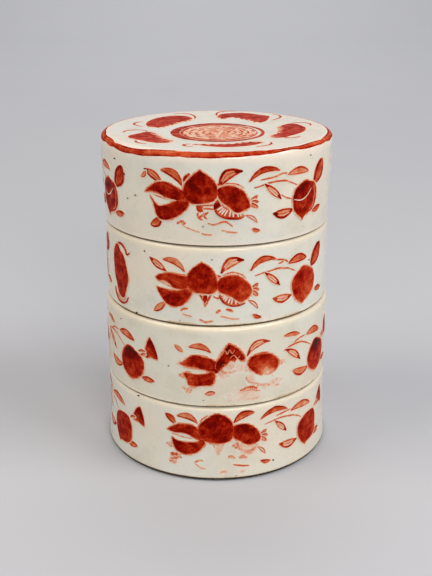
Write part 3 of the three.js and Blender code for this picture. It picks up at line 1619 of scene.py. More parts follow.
UPPER_SPRAY = FruitSpray(
    split_upper=(
        (-26.4, 19.7), (-26.4, 19.7), (-24.3, 21.1), (-21.5, 22.2), (-18.1, 22.5), (-14.6, 22),
        (-11.6, 21.6), (-10.6, 18.6), (-12.6, 16), (-16, 15.8), (-18.6, 16.6), (-19.6, 17.7),
        (-22.2, 18.6), (-25.2, 18.5),
    ),
    split_lower=(
        (-25.9, 15.6), (-25.9, 15.6), (-25, 13.5), (-23.6, 11.3), (-21.5, 9), (-18.8, 7.9),
        (-15.3, 8.5), (-12.9, 10.3), (-10.8, 13.1), (-10.4, 16), (-13.4, 16.4), (-16, 15),
        (-19, 14.9), (-22.2, 15.1),
    ),
    peach=(
        (-6.3, 28.2), (-6.3, 28.2), (-8.4, 26.4), (-10.4, 24.3), (-11.9, 22.3), (-12.4, 19.2),
        (-11.4, 16.2), (-8.8, 14.9), (-5.4, 14.6), (-2.4, 14.7), (0, 16), (0.5, 18.6), (0.2, 20.8),
        (-0.8, 23.3), (-2.1, 25.4), (-4.2, 27.1),
    ),
    pomegranate=(
        (0.5, 20), (2, 21.5), (5.5, 22.5), (8.9, 21.9), (11.2, 20.4), (13.4, 18.1), (14.6, 15.2),
        (13.8, 12.9), (11.7, 11.3), (9.6, 10.8), (7.5, 12.1), (5.3, 13.6), (2.7, 14.6), (0.6, 15.8),
        (0, 18),
    ),
    opening=((1, 14), (1.6, 12.4), (2.9, 10.7), (5.5, 9.3), (8.9, 9), (12, 10)),
    crown=((14.4, 15.4), (17.4, 18.2), (17.8, 15.5), (17.3, 12.6)),
    fruit=(
        (40.9, 4.7), (40.9, 4.7), (38.8, 5.6), (36.3, 7.9), (34.6, 11.5), (34.1, 15), (35.9, 18.1),
        (38.6, 20.1), (40.8, 21.3), (43.2, 20.7), (45.8, 19.6), (48.2, 17.8), (49.5, 14.5), (49.3, 11),
        (47.8, 8.2), (44.4, 6.2),
    ),
    leaves=(
        Leaf((-21.5, 23), (-29, 27.6), 2.6, 0.0, LeafLook.VEINED),
        Leaf((-13.2, 23.4), (-23, 27.8), 2.4, -0.2),
        Leaf((2, 23.8), (10.8, 28.8), 3.4, 0.18, LeafLook.VEINED),
        Leaf((-21.9, 9), (-27.6, 4.4), 2.4),
        Leaf((13, 11.1), (17.4, 6.9), 1.2, 0.1, LeafLook.OUTLINED),
        Leaf((15.2, 4.6), (19, 2.8), 1.3, -0.1, tone=Tone.MID),
        Leaf((14, 23.8), (25.6, 27.4), 2.2, 0.22, tone=Tone.MID),
        Leaf((32, 24.4), (43, 24.6), 3.2, 0.1, tone=Tone.MID),
        Leaf((20.5, 22.2), (27.5, 15.9), 2.3, 0.0, LeafLook.VEINED),
        Leaf((46.8, 20), (54.2, 28.8), 5.4, -0.06, tone=Tone.FULL),
        Leaf((33.8, 9.9), (24.6, 10.2), 3.2, 0.06, LeafLook.VEINED),
        Leaf((50.6, 8.2), (57, 7.2), 2.2, tone=Tone.MID),
    ),
    lines=(
        Line(((-24.6, 18), (-21, 16.9), (-17.6, 15.9)), 0.4, Tone.FAINT),
        Line(((1, 21.4), (4.1, 23.2), (6.9, 23.6), (10.3, 22.5), (12.4, 20.4)), 0.4),
        Line(((-7.3, 14.4), (-5.4, 11.4), (-4.8, 8.5)), 0.6),
        Line(((-2.1, 14.4), (-3.8, 11.4), (-4.8, 8.5)), 0.6),
        Line(((-4.7, 14.6), (-4.9, 12.4), (-4.8, 10.4)), 1.0, Tone.MID),
        Line(((-1.6, 13.4), (0.2, 12.6), (1.6, 12.6))),
        Line(((-15.3, 6.2), (-13.9, 7.2), (-11.8, 7.6)), 0.6),
        Line(((-14.6, 5.2), (-12.4, 4.4), (-10.1, 4.1)), 0.5, Tone.FAINT),
        Line(((-7.3, 3.1), (-4.9, 2.1), (-1.1, 2.6)), 0.6, Tone.FAINT),
        Line(((-0.4, 6), (0.6, 6.8), (1.8, 7.4)), 0.7),
        Line(((3.8, 7.8), (5.4, 7.2), (6.9, 6.4)), 0.7),
        Line(((1.3, 4.8), (5.5, 3.6), (9.6, 3.1)), 0.5, Tone.FAINT),
        Line(((23.5, 27.7), (29.7, 26.3), (32.1, 24.9))),
        Line(((26.6, 25.2), (28.4, 25.5), (29.9, 26.2)), 0.4),
        Line(((15.9, 21.5), (20, 22.3), (26.3, 23.2), (29.7, 22.8), (32.5, 22.1), (36.3, 20.2))),
    ),
    pools=(
        Pool((-9, 23), 4.5, 0.12), Pool((-5, 17.5), 4.0, 0.1), Pool((4.2, 18), 4.5, 0.15),
        Pool((11.5, 15), 4.0, -0.1), Pool((40, 17), 5.0, 0.14), Pool((46, 8), 5.0, -0.1),
        Pool((-17, 12.5), 4.0, 0.1), Pool((-22, 20.5), 4.0, -0.12),
    ),
    load=-0.12,
)


MIDDLE_SPRAY = FruitSpray(
    split_upper=(
        (-16.3, 19.9), (-16.3, 19.9), (-14.2, 21.7), (-11.3, 23.5), (-8.5, 24.3), (-5, 23.9),
        (-2.1, 22.6), (0.8, 21.2), (3.4, 20.6), (2.2, 18.6), (-0.4, 16.2), (-2.8, 16.4), (-5.7, 17.6),
        (-9.9, 18.1), (-14, 18.5),
    ),
    split_lower=(
        (-14.5, 15.3), (-14.5, 15.3), (-12, 16.1), (-9.2, 15.3), (-5, 15.7), (-1.6, 17), (-0.6, 14.5),
        (-1.6, 11), (-4.2, 10.2), (-7.1, 10.1), (-9.9, 9), (-12, 10), (-12.8, 12.5),
    ),
    peach=(
        (5, 29.6), (5, 29.6), (3.2, 27.5), (1.4, 24.4), (0, 21.6), (-0.6, 18.8), (0.8, 17.4),
        (2.2, 18.6), (2.6, 20.2), (4.4, 20), (5.6, 21.6), (7.4, 21), (8.8, 22.4), (10.6, 21.4),
        (12, 21.8), (11.7, 23.6), (9.6, 26.8), (7.1, 28.9),
    ),
    pomegranate=(
        (13.8, 22), (16.3, 23.5), (19.8, 23.9), (23.4, 23.1), (26.2, 21), (28, 18.1), (27.2, 15.6),
        (24.8, 13.8), (21.2, 13.1), (17.7, 14.2), (14.9, 16.4), (13.3, 19.2),
    ),
    opening=((12.6, 13.8), (13.6, 11.6), (17, 10.2), (21, 9.6), (25.4, 10.6)),
    crown=((27.8, 17.4),),
    fruit=(
        (53.1, 6), (49.5, 7.4), (46.7, 10.2), (46, 14.2), (47.1, 17.5), (49.5, 20), (52.4, 21.4),
        (56.6, 20), (60.2, 18.1), (61.6, 14.2), (60.5, 10), (57.3, 7.1),
    ),
    leaves=(
        Leaf((-14.2, 25), (-18, 28), 1.8, tone=Tone.FAINT),
        Leaf((-2.5, 25.6), (-11.9, 27.6), 2.4, -0.18),
        Leaf((13.1, 23.8), (22.8, 28.8), 2.6, 0.2, LeafLook.VEINED),
        Leaf((-5, 6.2), (-0.6, 7), 1.8),
        Leaf((30.2, 29.4), (39.8, 28), 1.8, 0.05),
        Leaf((44.4, 26.2), (55.8, 24.8), 3.0, 0.1),
        Leaf((31.6, 22.8), (40.2, 16.2), 2.6, 0.05, LeafLook.VEINED),
        Leaf((65.8, 18.9), (65.3, 28.9), 6.8, 0.02, LeafLook.DARK_TIP, Tone.FULL),
        Leaf((58.4, 20.6), (62.6, 21.4), 0.8, 0.1),
        Leaf((59.6, 18.9), (62.8, 20.2), 0.8, 0.1),
        Leaf((46.4, 10.4), (36, 11.8), 3.2, 0.12),
        Leaf((60, 8.6), (67, 8.4), 2.2, tone=Tone.MID),
    ),
    lines=(
        Line(((34.7, 23.8), (38.9, 25.9), (43.9, 26.3))),
        Line(((30.4, 22.4), (34, 23.8), (39.6, 24.1), (43.9, 22.7), (48.8, 19.9))),
        Line(((9.9, 7.5), (14.2, 8.6), (17.9, 7.8)), 0.8),
        Line(((11, 6.7), (15, 7.2), (19.2, 6.2)), 0.6, Tone.FAINT),
        Line(((12.6, 3.6), (16, 3.2), (19.4, 3.8)), 0.8, Tone.GHOST),
        Line(((2.4, 21.8), (2, 26), (4.6, 29.4)), 0.4),
        Line(((-10.6, 9.6), (-12.4, 7.6), (-13.2, 6)), 0.8, Tone.GHOST),
    ),
    pools=(
        Pool((8, 18.6), 5.0, -0.5), Pool((22, 13.4), 7.0, -0.5), Pool((19.5, 18.5), 8.0, -0.24),
        Pool((20, 23.4), 4.5, 0.2), Pool((16, 20.5), 3.5, 0.1), Pool((5, 26.5), 5.0, 0.12),
        Pool((53, 20.8), 7.0, 0.6), Pool((1.2, 19.2), 4.0, 0.25), Pool((-14, 21), 5.0, -0.25),
        Pool((-10, 12.5), 5.0, -0.2), Pool((12, 6), 8.0, -0.08),
    ),
    scratches=(
        Line((
            (2.2, 24.6), (3.4, 26.6), (4.4, 25), (5.4, 26.8), (6.4, 25.2), (7.6, 26.6),
        ), 0.45, Tone.FAINT),
        Line(((5.6, 23), (7.2, 24.4), (8.6, 22.8), (9.8, 23.8)), 0.4, Tone.FAINT),
        Line(((1.6, 17.8), (3.2, 16.2), (4.8, 16.8)), 0.4, Tone.FAINT),
    ),
    mottles=(
        Mottle((5.4, 18.4), 6.0, 0.2), Mottle((3, 16), 4.0, 0.26), Mottle((10, 18), 3.4, 0.18),
        Mottle((19.6, 11.6), 7.0, 0.34), Mottle((13, 5.2), 10.0, 0.13), Mottle((29, 17.6), 2.6, 0.36),
        Mottle((-14.4, 20), 3.0, 0.26), Mottle((-12.2, 7.4), 2.6, 0.36), Mottle((26.4, 8.6), 4.0, 0.2),
        Mottle((22, 14), 4.0, 0.36), Mottle((-13.6, 14), 2.0, 0.3),
    ),
    middle=(20, 18),
    load=-0.05,
    teeth=0,
    ragged=0.3,
    feather=0.7,
)


LOWER_SPRAY = FruitSpray(
    split_upper=(
        (-22.4, 22.9), (-22.4, 22.9), (-19.9, 24.7), (-17.1, 26.5), (-13.5, 27.1), (-9.9, 26.4),
        (-7.2, 24.4), (-5.8, 21.8), (-7.2, 19.6), (-9.4, 20.3), (-11.3, 21.6), (-14.9, 22.4), (-18.6, 22.1),
    ),
    split_lower=(
        (-20, 19.7), (-20, 19.7), (-19.5, 16.5), (-17.8, 13.4), (-14.2, 12.2), (-10.6, 12.6),
        (-7.8, 14.4), (-5.7, 16.5), (-4.8, 19), (-6.4, 20.6), (-8.4, 19), (-12.1, 18.2), (-17.1, 18.2),
    ),
    peach=(
        (-0.7, 32.6), (-3.5, 30.9), (-5.7, 29), (-7.5, 27), (-8, 24), (-7.1, 21.3), (-4.3, 19),
        (0, 18.2), (3.6, 18.6), (6.4, 20.4), (7.2, 23), (6.9, 27), (5.4, 30.1), (2.9, 32),
    ),
    pomegranate=(
        (6.2, 24.5), (6.8, 26.4), (10.7, 27.3), (14.3, 26.5), (17.1, 24.3), (19.1, 21.2), (19.3, 18.4),
        (16.6, 16.9), (12.9, 17.2), (10, 19), (6.9, 21.1),
    ),
    opening=((9.4, 17.4), (10, 15.4), (12.6, 14.2), (15.6, 14.3), (18, 15.6)),
    crown=((19.2, 19.8), (22.4, 22.8), (23, 20), (22.4, 17)),
    fruit=(
        (45.3, 7.5), (45.3, 7.5), (42.8, 10), (40.8, 13), (40.1, 16.1), (40.8, 19.2), (42.8, 21.2),
        (46.4, 22.7), (50.6, 23), (53.1, 21.9), (54.6, 18.6), (54.9, 14.4), (54.1, 10.7), (50.4, 8.9),
        (47.1, 8.4),
    ),
    leaves=(
        Leaf((-18.4, 26), (-23, 30.4), 2.6, -0.1, tone=Tone.MID),
        Leaf((-8.2, 27.6), (-17.6, 30.2), 2.6, -0.2),
        Leaf((7.4, 28), (16.6, 32), 2.8, 0.16, tone=Tone.MID),
        Leaf((18.2, 14.8), (21.8, 10.8), 1.2, 0.1, LeafLook.OUTLINED),
        Leaf((19.6, 8), (24.2, 7), 1.4, -0.1, tone=Tone.MID),
        Leaf((19.4, 28), (33.5, 29.6), 2.2, 0.18, tone=Tone.MID),
        Leaf((35.4, 28), (49.4, 27), 2.8, 0.1),
        Leaf((27, 25.4), (32.9, 19.2), 2.2, 0.0, LeafLook.VEINED),
        Leaf((59.6, 22.4), (60.7, 31), 7.8, 0.03, LeafLook.DARK_TIP, Tone.FULL),
        Leaf((53.8, 23), (57.6, 24.4), 0.8, 0.1),
        Leaf((39.2, 12.6), (29.4, 13.4), 3.2, 0.08, LeafLook.VEINED),
        Leaf((52.6, 9.6), (59, 10.4), 2.2, tone=Tone.MID),
    ),
    lines=(
        Line(((-20.2, 21.2), (-15.5, 20.4), (-10.4, 20)), 0.4, Tone.FAINT),
        Line(((-7.2, 28.6), (-5.6, 30.4), (-3.6, 31.8))),
        Line(((-1.6, 18), (0.2, 14.8), (0.8, 12.4)), 0.6, Tone.FAINT),
        Line(((2.9, 18), (1.6, 14.8), (0.8, 12.4)), 0.6, Tone.FAINT),
        Line(((0.6, 18.2), (0.7, 15.6), (0.8, 13.2)), 1.4, Tone.GHOST),
        Line(((-9.8, 8.4), (-7.6, 9.8), (-5.6, 9.4)), 0.6, Tone.FAINT),
        Line(((-9.4, 8.2), (-7, 6.4), (-4.6, 5.8)), 0.4, Tone.FAINT),
        Line(((4.9, 11.2), (6.4, 11.6), (8.2, 10.8)), 0.9, Tone.FAINT),
        Line(((9.6, 10.9), (11.5, 11.3), (13.6, 10.2)), 0.9, Tone.FAINT),
        Line(((7, 7.9), (10.6, 7), (14.6, 6.6))),
        Line(((1.4, 4.2), (3, 4.8), (4.6, 4.4)), 0.6, Tone.GHOST),
        Line(((27.1, 27.9), (31.4, 28.6), (35.4, 29))),
        Line(((21.4, 25.1), (28.5, 26.4), (35, 25.8), (40, 24), (42.6, 22.2))),
    ),
    pools=(
        Pool((0, 28), 6.0, 0.1), Pool((4, 21), 4.0, 0.08), Pool((-4, 22), 4.0, -0.1),
        Pool((47, 20), 6.0, -0.08), Pool((14, 24), 5.0, 0.06), Pool((11, 20), 3.5, -0.08),
    ),
    mottles=(
        Mottle((14, 15.6), 6.0, 0.4), Mottle((-18.4, 10.4), 3.0, 0.66), Mottle((-19.4, 8), 2.8, 0.56),
        Mottle((-20.8, 15.6), 2.0, 0.3), Mottle((8.6, 17), 3.0, 0.4), Mottle((2.6, 4.6), 2.0, 0.2),
        Mottle((11.6, 4.4), 1.4, 0.26),
    ),
    load=-0.03,
    teeth=0,
)


class LidBat(NamedTuple):
    """One of the five bats round the lid's medallion, with its curled feelers."""

    body: Outline
    curls: tuple[Outline, ...]


LID_BATS = (
    LidBat(
        (
            (22.2, -15), (23.1, -19.4), (26.9, -19.7), (31.3, -15.6), (35.6, -10), (38.1, -5),
            (39.1, 1.9), (38.1, 6.9), (35.6, 11.9), (32.5, 12.5), (29.4, 8.8), (26.9, 5), (27.5, 1.3),
            (26.6, -3.8), (25.6, -9.4), (23.4, -13),
        ),
        (((33, 12.6), (36.3, 15), (40, 14.4), (42.2, 11.3), (41.6, 7.5)),
         ((28.2, -20.4), (32.5, -19.6), (35.6, -16.3))),
    ),
    LidBat(
        (
            (0.3, 29.4), (0.9, 34.4), (3.1, 38.1), (8.1, 40), (12.5, 40.6), (16.9, 38.1), (20.6, 35),
            (24.7, 31.3), (23.8, 25), (22.5, 18.8), (20, 15.3), (16.9, 16.3), (15.6, 20),
            (12.5, 23.1), (10, 26.3), (8.1, 27.8), (5.6, 27.8), (3.1, 23.8), (1.6, 26.3),
        ),
        (((26.6, 36), (29.6, 33.2), (29.4, 27.4), (25.4, 21)),
         ((0.2, 33), (0, 38.8), (1.9, 43.2), (6.3, 45.4), (10.2, 45))),
    ),
    LidBat(
        (
            (-31.9, 13.1), (-30.6, 20), (-27.5, 26.9), (-22.5, 31.9), (-17.5, 33.1), (-13.8, 31.3),
            (-11.3, 26.3), (-11.9, 20.6), (-14.4, 18.1), (-16.9, 15.6), (-18.8, 11.3), (-21.3, 7.5),
            (-23.8, 3.4), (-27.5, 3.4), (-30.6, 6.3),
        ),
        (((-20.4, 37), (-16, 39), (-12, 36), (-10, 30), (-10.6, 26)),
         ((-33.6, 17.4), (-36.6, 15), (-37, 10.4), (-33, 5))),
    ),
    LidBat(
        (
            (-29.1, -5), (-31.3, -8.1), (-35, -12.5), (-37.2, -16.3), (-36.6, -20.6), (-33.8, -23.8),
            (-30, -26.9), (-26.9, -30), (-22.5, -31.3), (-18.8, -30), (-17.8, -26.3), (-20.6, -22.5),
            (-23.1, -17.5), (-25, -12.5), (-26.9, -8.1),
        ),
        (((-40.2, -8.6), (-39, -4.2), (-34.4, -2.5), (-30, -3.8)),
         ((-33.6, -26), (-32.4, -30.4), (-28.4, -32.6))),
    ),
    LidBat(
        (
            (-10, -33.8), (-6.3, -32.5), (0, -32.5), (6.3, -31.9), (10.6, -28.8), (15.6, -27.8),
            (19.4, -29.4), (17.5, -32.5), (13.8, -36.3), (8.1, -38.8), (3.1, -39.7), (-2.5, -38.1),
            (-6.9, -35.6),
        ),
        (((22.2, -29.4), (21.9, -33.8), (18.8, -36.9), (15.6, -38.8)),
         ((-10.6, -32.6), (-13.3, -34), (-12.8, -37), (-9.6, -38))),
    ),
)


@dataclass(frozen=True)
class LidMedallion:
    """A ring filled with a fret of broken arcs and bars, set a little in front of the lid's middle.

    Shares are of the ring's reach, and the ring's strokes give start, end, width and tone.
    """

    middle: Point = (1.0, -6.0)
    reach: Point = (19.0, 20.2)
    rows: tuple[float, ...] = (0.8, 0.66, 0.52, 0.38, 0.24, 0.1)
    bars: int = 16
    dark_rows: int = 3
    arc_width: float = 0.9
    bar_width: float = 0.8
    fret_soft: float = 0.5
    stagger: Point = (-0.15, 0.15)
    wander: Point = (-0.03, 0.03)
    gap: float = 0.1
    arc_ends: Point = (0.6, 0.95)
    steps_per_radian: int = 5
    field_share: float = 0.9
    inner_share: float = 0.86
    strokes: tuple[tuple[float, float, float, Tone], ...] = (
        (0.9, 2.7, 2.0, Tone.FULL),
        (2.4, 4.1, 3.6, Tone.FULL),
        (3.9, 5.5, 1.2, Tone.FULL),
        (5.3, 7.3, 1.3, Tone.MID),
    )

    def on_ring(self, share: float, angle: float) -> Point:
        """Gives a point at a share of the ring's reach and an angle."""
        along, up = self.reach[0] * share * math.cos(angle), self.reach[1] * share * math.sin(angle)
        return (self.middle[0] + along, self.middle[1] + up)

    def arc(self, share: float, start: float, end: float) -> Outline:
        """Gives an arc round the medallion's middle.

        Args:
            share: Its share of the ring's reach.
            start: Angle where it starts.
            end: Angle where it ends.

        Returns:
            Its points.
        """
        turn = end - start
        count = max(3, round(abs(turn) * self.steps_per_radian * share) + 2)
        return tuple(self.on_ring(share, start + turn * index / (count - 1)) for index in range(count))

    def paint(self, coat: EnamelCoat) -> None:
        """Paints the field, the fret and the ring.

        Args:
            coat: The coat to add to.
        """
        brush = Brush(coat)
        brush.wash(self.arc(self.field_share, 0.0, math.tau * 0.93), Tone.GHOST + 0.02, grain=1.2)
        for row in range(len(self.rows)):
            self.paint_row(brush, row)
        brush.line(Line(self.arc(self.inner_share, 0.2, 0.2 + math.tau * 0.98), tone=Tone.MID))
        for start, end, width, tone in self.strokes:
            brush.line(Line(self.arc(1.0, start, end), width, tone))

    def paint_row(self, brush: Brush, row: int) -> None:
        """Paints one row of the fret: broken arcs, with a bar from each towards the next row.

        Args:
            brush: The medallion's brush.
            row: The row's number, from outside.
        """
        chance = brush.coat.chance
        share = self.rows[row]
        bars = max(3, round(self.bars * share))
        turn = math.tau / bars
        tone = Tone.FULL if row < self.dark_rows else Tone.MID
        for bar in range(bars):
            start = (bar + 0.5 * (row % 2) + chance.uniform(*self.stagger)) * turn
            ring = share + chance.uniform(*self.wander)
            first, last = start + self.gap * turn, start + chance.uniform(*self.arc_ends) * turn
            brush.line(Line(self.arc(ring, first, last), self.arc_width, tone), self.fret_soft)
            if row + 1 < len(self.rows):
                inner = 0.5 * (share + self.rows[row + 1])
                spoke = (self.on_ring(share, first), self.on_ring(inner, first))
                brush.line(Line(spoke, self.bar_width, tone), self.fret_soft)


class BandEdge(NamedTuple):
    """One edge of the rim band: its place, and how far each change of the band moves it."""

    place: float
    heavy: float
    slim: float
    dip: float
    stir: Point


@dataclass(frozen=True)
class RimBand:
    """The brushed red band over the lid's edge, laid in overlapping strokes.

    It is heaviest at one place, dips near it and slims at another. dip_at and slim_at give a place
    along the edge and its reach.
    """

    strokes: int = 9
    stretches: int = 8
    overlap: float = 7.0
    overlap_shares: Point = (0.5, 1.0)
    edge_steps: int = 4
    pinch: float = 0.35
    heavy_at: float = -32.0
    dip_at: Point = (-40.0, 14.0)
    dip_depth: float = 1.6
    slim_at: Point = (32.0, 9.0)
    upper: BandEdge = BandEdge(1.5, 0.2, -0.2, 1.1, (-0.35, 0.2))
    lower: BandEdge = BandEdge(-0.7, -0.5, 0.9, 0.9, (-0.25, 0.3))
    tones: Point = (0.34, 0.58)
    leans: tuple[Point, Point] = ((-0.14, 0.14), (-0.16, 0.0))
    outline_inset: float = 0.3
    outline_width: float = 0.8
    outline_soft: float = 0.6

    def paint(self, coat: EnamelCoat, radius: float) -> None:
        """Paints the band.

        Args:
            coat: The coat to add to.
            radius: Radius of the lid's edge.
        """
        chance = coat.chance
        length = math.tau * radius / self.strokes
        for index in range(self.strokes):
            start = index * length - math.pi * radius
            end = start + length + self.overlap * chance.uniform(*self.overlap_shares)
            upper, lower = [], []
            for step in range(self.stretches + 1):
                along = start + (end - start) * step / self.stretches
                heavy = 0.5 + 0.5 * math.cos((along - self.heavy_at) / radius)
                pinch = self.pinch if step in (0, self.stretches) else 1.0
                dip = self.dip_depth * math.exp(-(((along - self.dip_at[0]) / self.dip_at[1]) ** 2))
                slim = math.exp(-(((along - self.slim_at[0]) / self.slim_at[1]) ** 2))
                for edge, points in ((self.upper, upper), (self.lower, lower)):
                    place = edge.place + edge.heavy * heavy + edge.slim * slim + chance.uniform(*edge.stir)
                    points.append((along, pinch * place - edge.dip * dip))
            outline = smooth_run([*upper, *reversed(lower)], True, self.edge_steps)
            brush = Brush(coat)
            tone = chance.uniform(*self.tones)
            lean = tuple(chance.uniform(*ends) for ends in self.leans)
            brush.fill(outline, tone, lean, 0.0)
            for points, inset in ((upper, -self.outline_inset), (lower, self.outline_inset)):
                run = moved(tuple(points[1:-1]), (0.0, inset))
                brush.line(Line(run, self.outline_width, Tone.DEEP), self.outline_soft)


@dataclass(frozen=True)
class WallBat:
    """The upright bat between two sprays of the upper tray."""

    body: Outline = (
        (-54.4, 20.7), (-53.7, 24.9), (-52, 28), (-49.6, 28.6), (-47.8, 26.4), (-45.2, 24.4),
        (-43.7, 20.7), (-42.4, 15.9), (-42.7, 13.1), (-44.4, 9), (-45.6, 6), (-48.2, 5.2), (-50.6, 6.9),
        (-52, 11), (-53.7, 14.5),
    )
    curls: tuple[Line, ...] = (
        Line((
            (-50.8, 28.9), (-48.6, 29.6), (-46.2, 29.2), (-44, 27.6), (-43, 25.7), (-41, 26.9),
        ), 1.0, Tone.MID),
        Line((
            (-54.4, 8.2), (-53.4, 5), (-50.6, 2.9), (-47.1, 2.7), (-44.4, 4.1), (-43, 6.5),
        ), 0.9, Tone.MID),
        Line(((-52, 6.2), (-50.2, 4.5), (-47.4, 4.2), (-45.4, 5.2)), 0.8, Tone.FAINT),
    )

    def paint(self, coat: EnamelCoat) -> None:
        """Paints the bat where it stands on the wall.

        Args:
            coat: The wall's coat.
        """
        brush = Brush(coat)
        for curl in self.curls:
            brush.line(curl)
        brush.seam(self.body, Tone.FULL)
        brush.wash(self.body, Tone.FULL + 0.06, (-0.02, -0.04), 1.6)


# The outline of a speck, about 1 in reach, and how much of its size a speck takes up each way
SPECK_RING = ((-1.0, 0.0), (-0.3, 1.0), (0.8, 0.6), (1.0, -0.4), (0.0, -1.0))
SPECK_SHARE = 0.32


class Speck(NamedTuple):
    """A kiln speck on a wall."""

    at: Point
    width: float
    height: float

    def outline(self) -> Outline:
        """Gives the speck's outline on the wall."""
        return set_down(SPECK_RING, (SPECK_SHARE * self.width, SPECK_SHARE * self.height), self.at)


@dataclass(frozen=True)
class WallPainting:
    """All that is painted on one piece's wall."""

    spray: FruitSpray
    shifts: tuple[Point, ...]
    specks: tuple[Speck, ...]
    seed: int
    bat: WallBat | None = None
    worst_wear: float = -0.3
    turns: Point = (-0.03, 0.03)
    sizes: Point = (0.97, 1.01)

    def paint(self, piece: PorcelainPiece) -> EnamelCoat:
        """Paints the front spray as drawn, the others with a freer hand and less worn, and the specks.

        Args:
            piece: The piece to paint on.

        Returns:
            The wall's coat.
        """
        coat = EnamelCoat(f"{piece.node}_enamel", WallGround(piece), self.seed)
        chance = coat.chance
        self.spray.paint(coat, Placement())
        unworn = tuple(pool for pool in self.spray.pools if pool.depth > self.worst_wear)
        other = replace(self.spray, pools=unworn)
        for shift in self.shifts:
            turn, size = chance.uniform(*self.turns), chance.uniform(*self.sizes)
            other.paint(coat, Placement(shift, turn, size, self.spray.middle))
        if self.bat:
            self.bat.paint(coat)
        brush = Brush(coat)
        for speck in self.specks:
            brush.wash(speck.outline(), Tone.IRON_SPOT)
        return coat


# From the lowest tray up to the lid
WALL_PAINTINGS = (
    WallPainting(
        LOWER_SPRAY,
        shifts=((-98, -0.5), (106, 0.4)),
        specks=(
            Speck((-38, 34.4), 1.6, 1.0), Speck((25.8, 6.6), 1.4, 1.0), Speck((8.4, 2.4), 0.8, 0.6),
            Speck((42.1, 14.9), 1.4, 1.2),
        ),
        seed=11,
    ),
    WallPainting(
        MIDDLE_SPRAY,
        shifts=((-94.8, 0), (107, 0.6)),
        specks=(
            Speck((-21, 17.6), 1.0, 0.8), Speck((-49, 32), 0.9, 0.7), Speck((-5.6, 3.2), 0.7, 0.5),
        ),
        seed=12,
    ),
    WallPainting(
        UPPER_SPRAY,
        shifts=((-116, 0.3), (101, 0)),
        specks=(
            Speck((-32, 29.8), 0.9, 0.7), Speck((-2, 29.2), 0.8, 0.6), Speck((45.2, 22.8), 1.1, 0.9),
            Speck((-37.6, 0.9), 1.8, 0.8),
        ),
        seed=13,
        bat=WallBat(),
    ),
    WallPainting(
        LID_SPRAY,
        shifts=((-98, -1.6), (107, 0.4)),
        specks=(
            Speck((-36.6, 18.2), 1.7, 0.8), Speck((-50, 31.2), 1.4, 0.5), Speck((-43, 25.8), 1.0, 0.8),
            Speck((-5.6, 8.4), 0.8, 0.7), Speck((43.2, 33.8), 1.0, 0.6), Speck((-41.6, 16), 0.7, 0.6),
        ),
        seed=14,
    ),
)


@dataclass
class LidPainting:
    """All that is painted on the lid's top and edge."""

    lid: DeepLid
    medallion: LidMedallion = field(default_factory=LidMedallion)
    band: RimBand = field(default_factory=RimBand)
    bats: tuple[LidBat, ...] = LID_BATS
    bat_shift: Point = (0.0, 0.9)
    bat_tremble: float = 0.3
    curl_width: float = 1.2
    curl_soft: float = 0.6
    scallop: float = 2.2
    scallop_pitch: float = 3.4
    scallop_start: Point = (0.5, 2.5)
    scallop_steps: int = 10
    band_seed: int = 41
    bat_seed: int = 42
    medallion_seed: int = 43

    def scalloped(self, body: Outline) -> list[Point]:
        """Cuts scallops into the edge of a bat's wings that faces the medallion.

        Args:
            body: The bat's outline.

        Returns:
            The finished outline.
        """
        heart = Vector(centre(body))
        inward = (Vector(self.medallion.middle) - heart).normalized()
        run = [Vector(point) for point in smooth_run(body, True, self.scallop_steps)]
        edge, walked = [], 0.0
        for before, point in zip([run[-1], *run], run):
            walked += (point - before).length
            facing = blend_in((point - heart).dot(inward), *self.scallop_start)
            wave = 0.5 + 0.5 * math.cos(math.tau * walked / self.scallop_pitch)
            notch = point - inward * self.scallop * facing * wave
            edge.append((notch.x, notch.y))
        return edge

    def paint(self) -> list[EnamelCoat]:
        """Paints the band, the bats and the medallion, each as a coat of its own.

        Returns:
            The three coats.
        """
        edge = EnamelCoat("lid_rim_band", LidEdgeGround(self.lid), self.band_seed)
        self.band.paint(edge, self.lid.top_radius)
        top = LidTopGround(self.lid)
        bats = EnamelCoat("lid_bats", top, self.bat_seed)
        brush = Brush(bats, Placement(self.bat_shift), tremble=self.bat_tremble)
        for bat in self.bats:
            for curl in bat.curls:
                brush.line(Line(curl, self.curl_width, Tone.FULL), self.curl_soft)
            brush.seam(bat.body, Tone.FULL - 0.2)
            brush.fill(self.scalloped(bat.body), Tone.FULL, (0.0, 0.05), 0.8, 0.3)
        medallion = EnamelCoat("lid_medallion", top, self.medallion_seed)
        self.medallion.paint(medallion)
        return [edge, bats, medallion]


@dataclass(frozen=True)
class SoftLight:
    """A studio softbox."""

    name: str
    place: Point3 = (0.0, 0.0, 1.0)
    aim: Point3 = (0.0, 0.0, 0.07)
    size: float = 0.6
    power: float = 5.0
    spread: float = 180.0
    colour: Point3 = (1.0, 1.0, 1.0)

    def build(self) -> None:
        """Hangs the light and points it at its aim."""
        lamp = bpy.data.lights.new(self.name, "AREA")
        lamp.shape = "SQUARE"
        lamp.size = self.size
        lamp.energy = self.power
        lamp.spread = math.radians(self.spread)
        lamp.color = self.colour
        light = bpy.data.objects.new(self.name, lamp)
        light.location = self.place
        light.rotation_euler = (Vector(self.aim) - Vector(self.place)).to_track_quat("-Z", "Y").to_euler()
        bpy.context.scene.collection.objects.link(light)


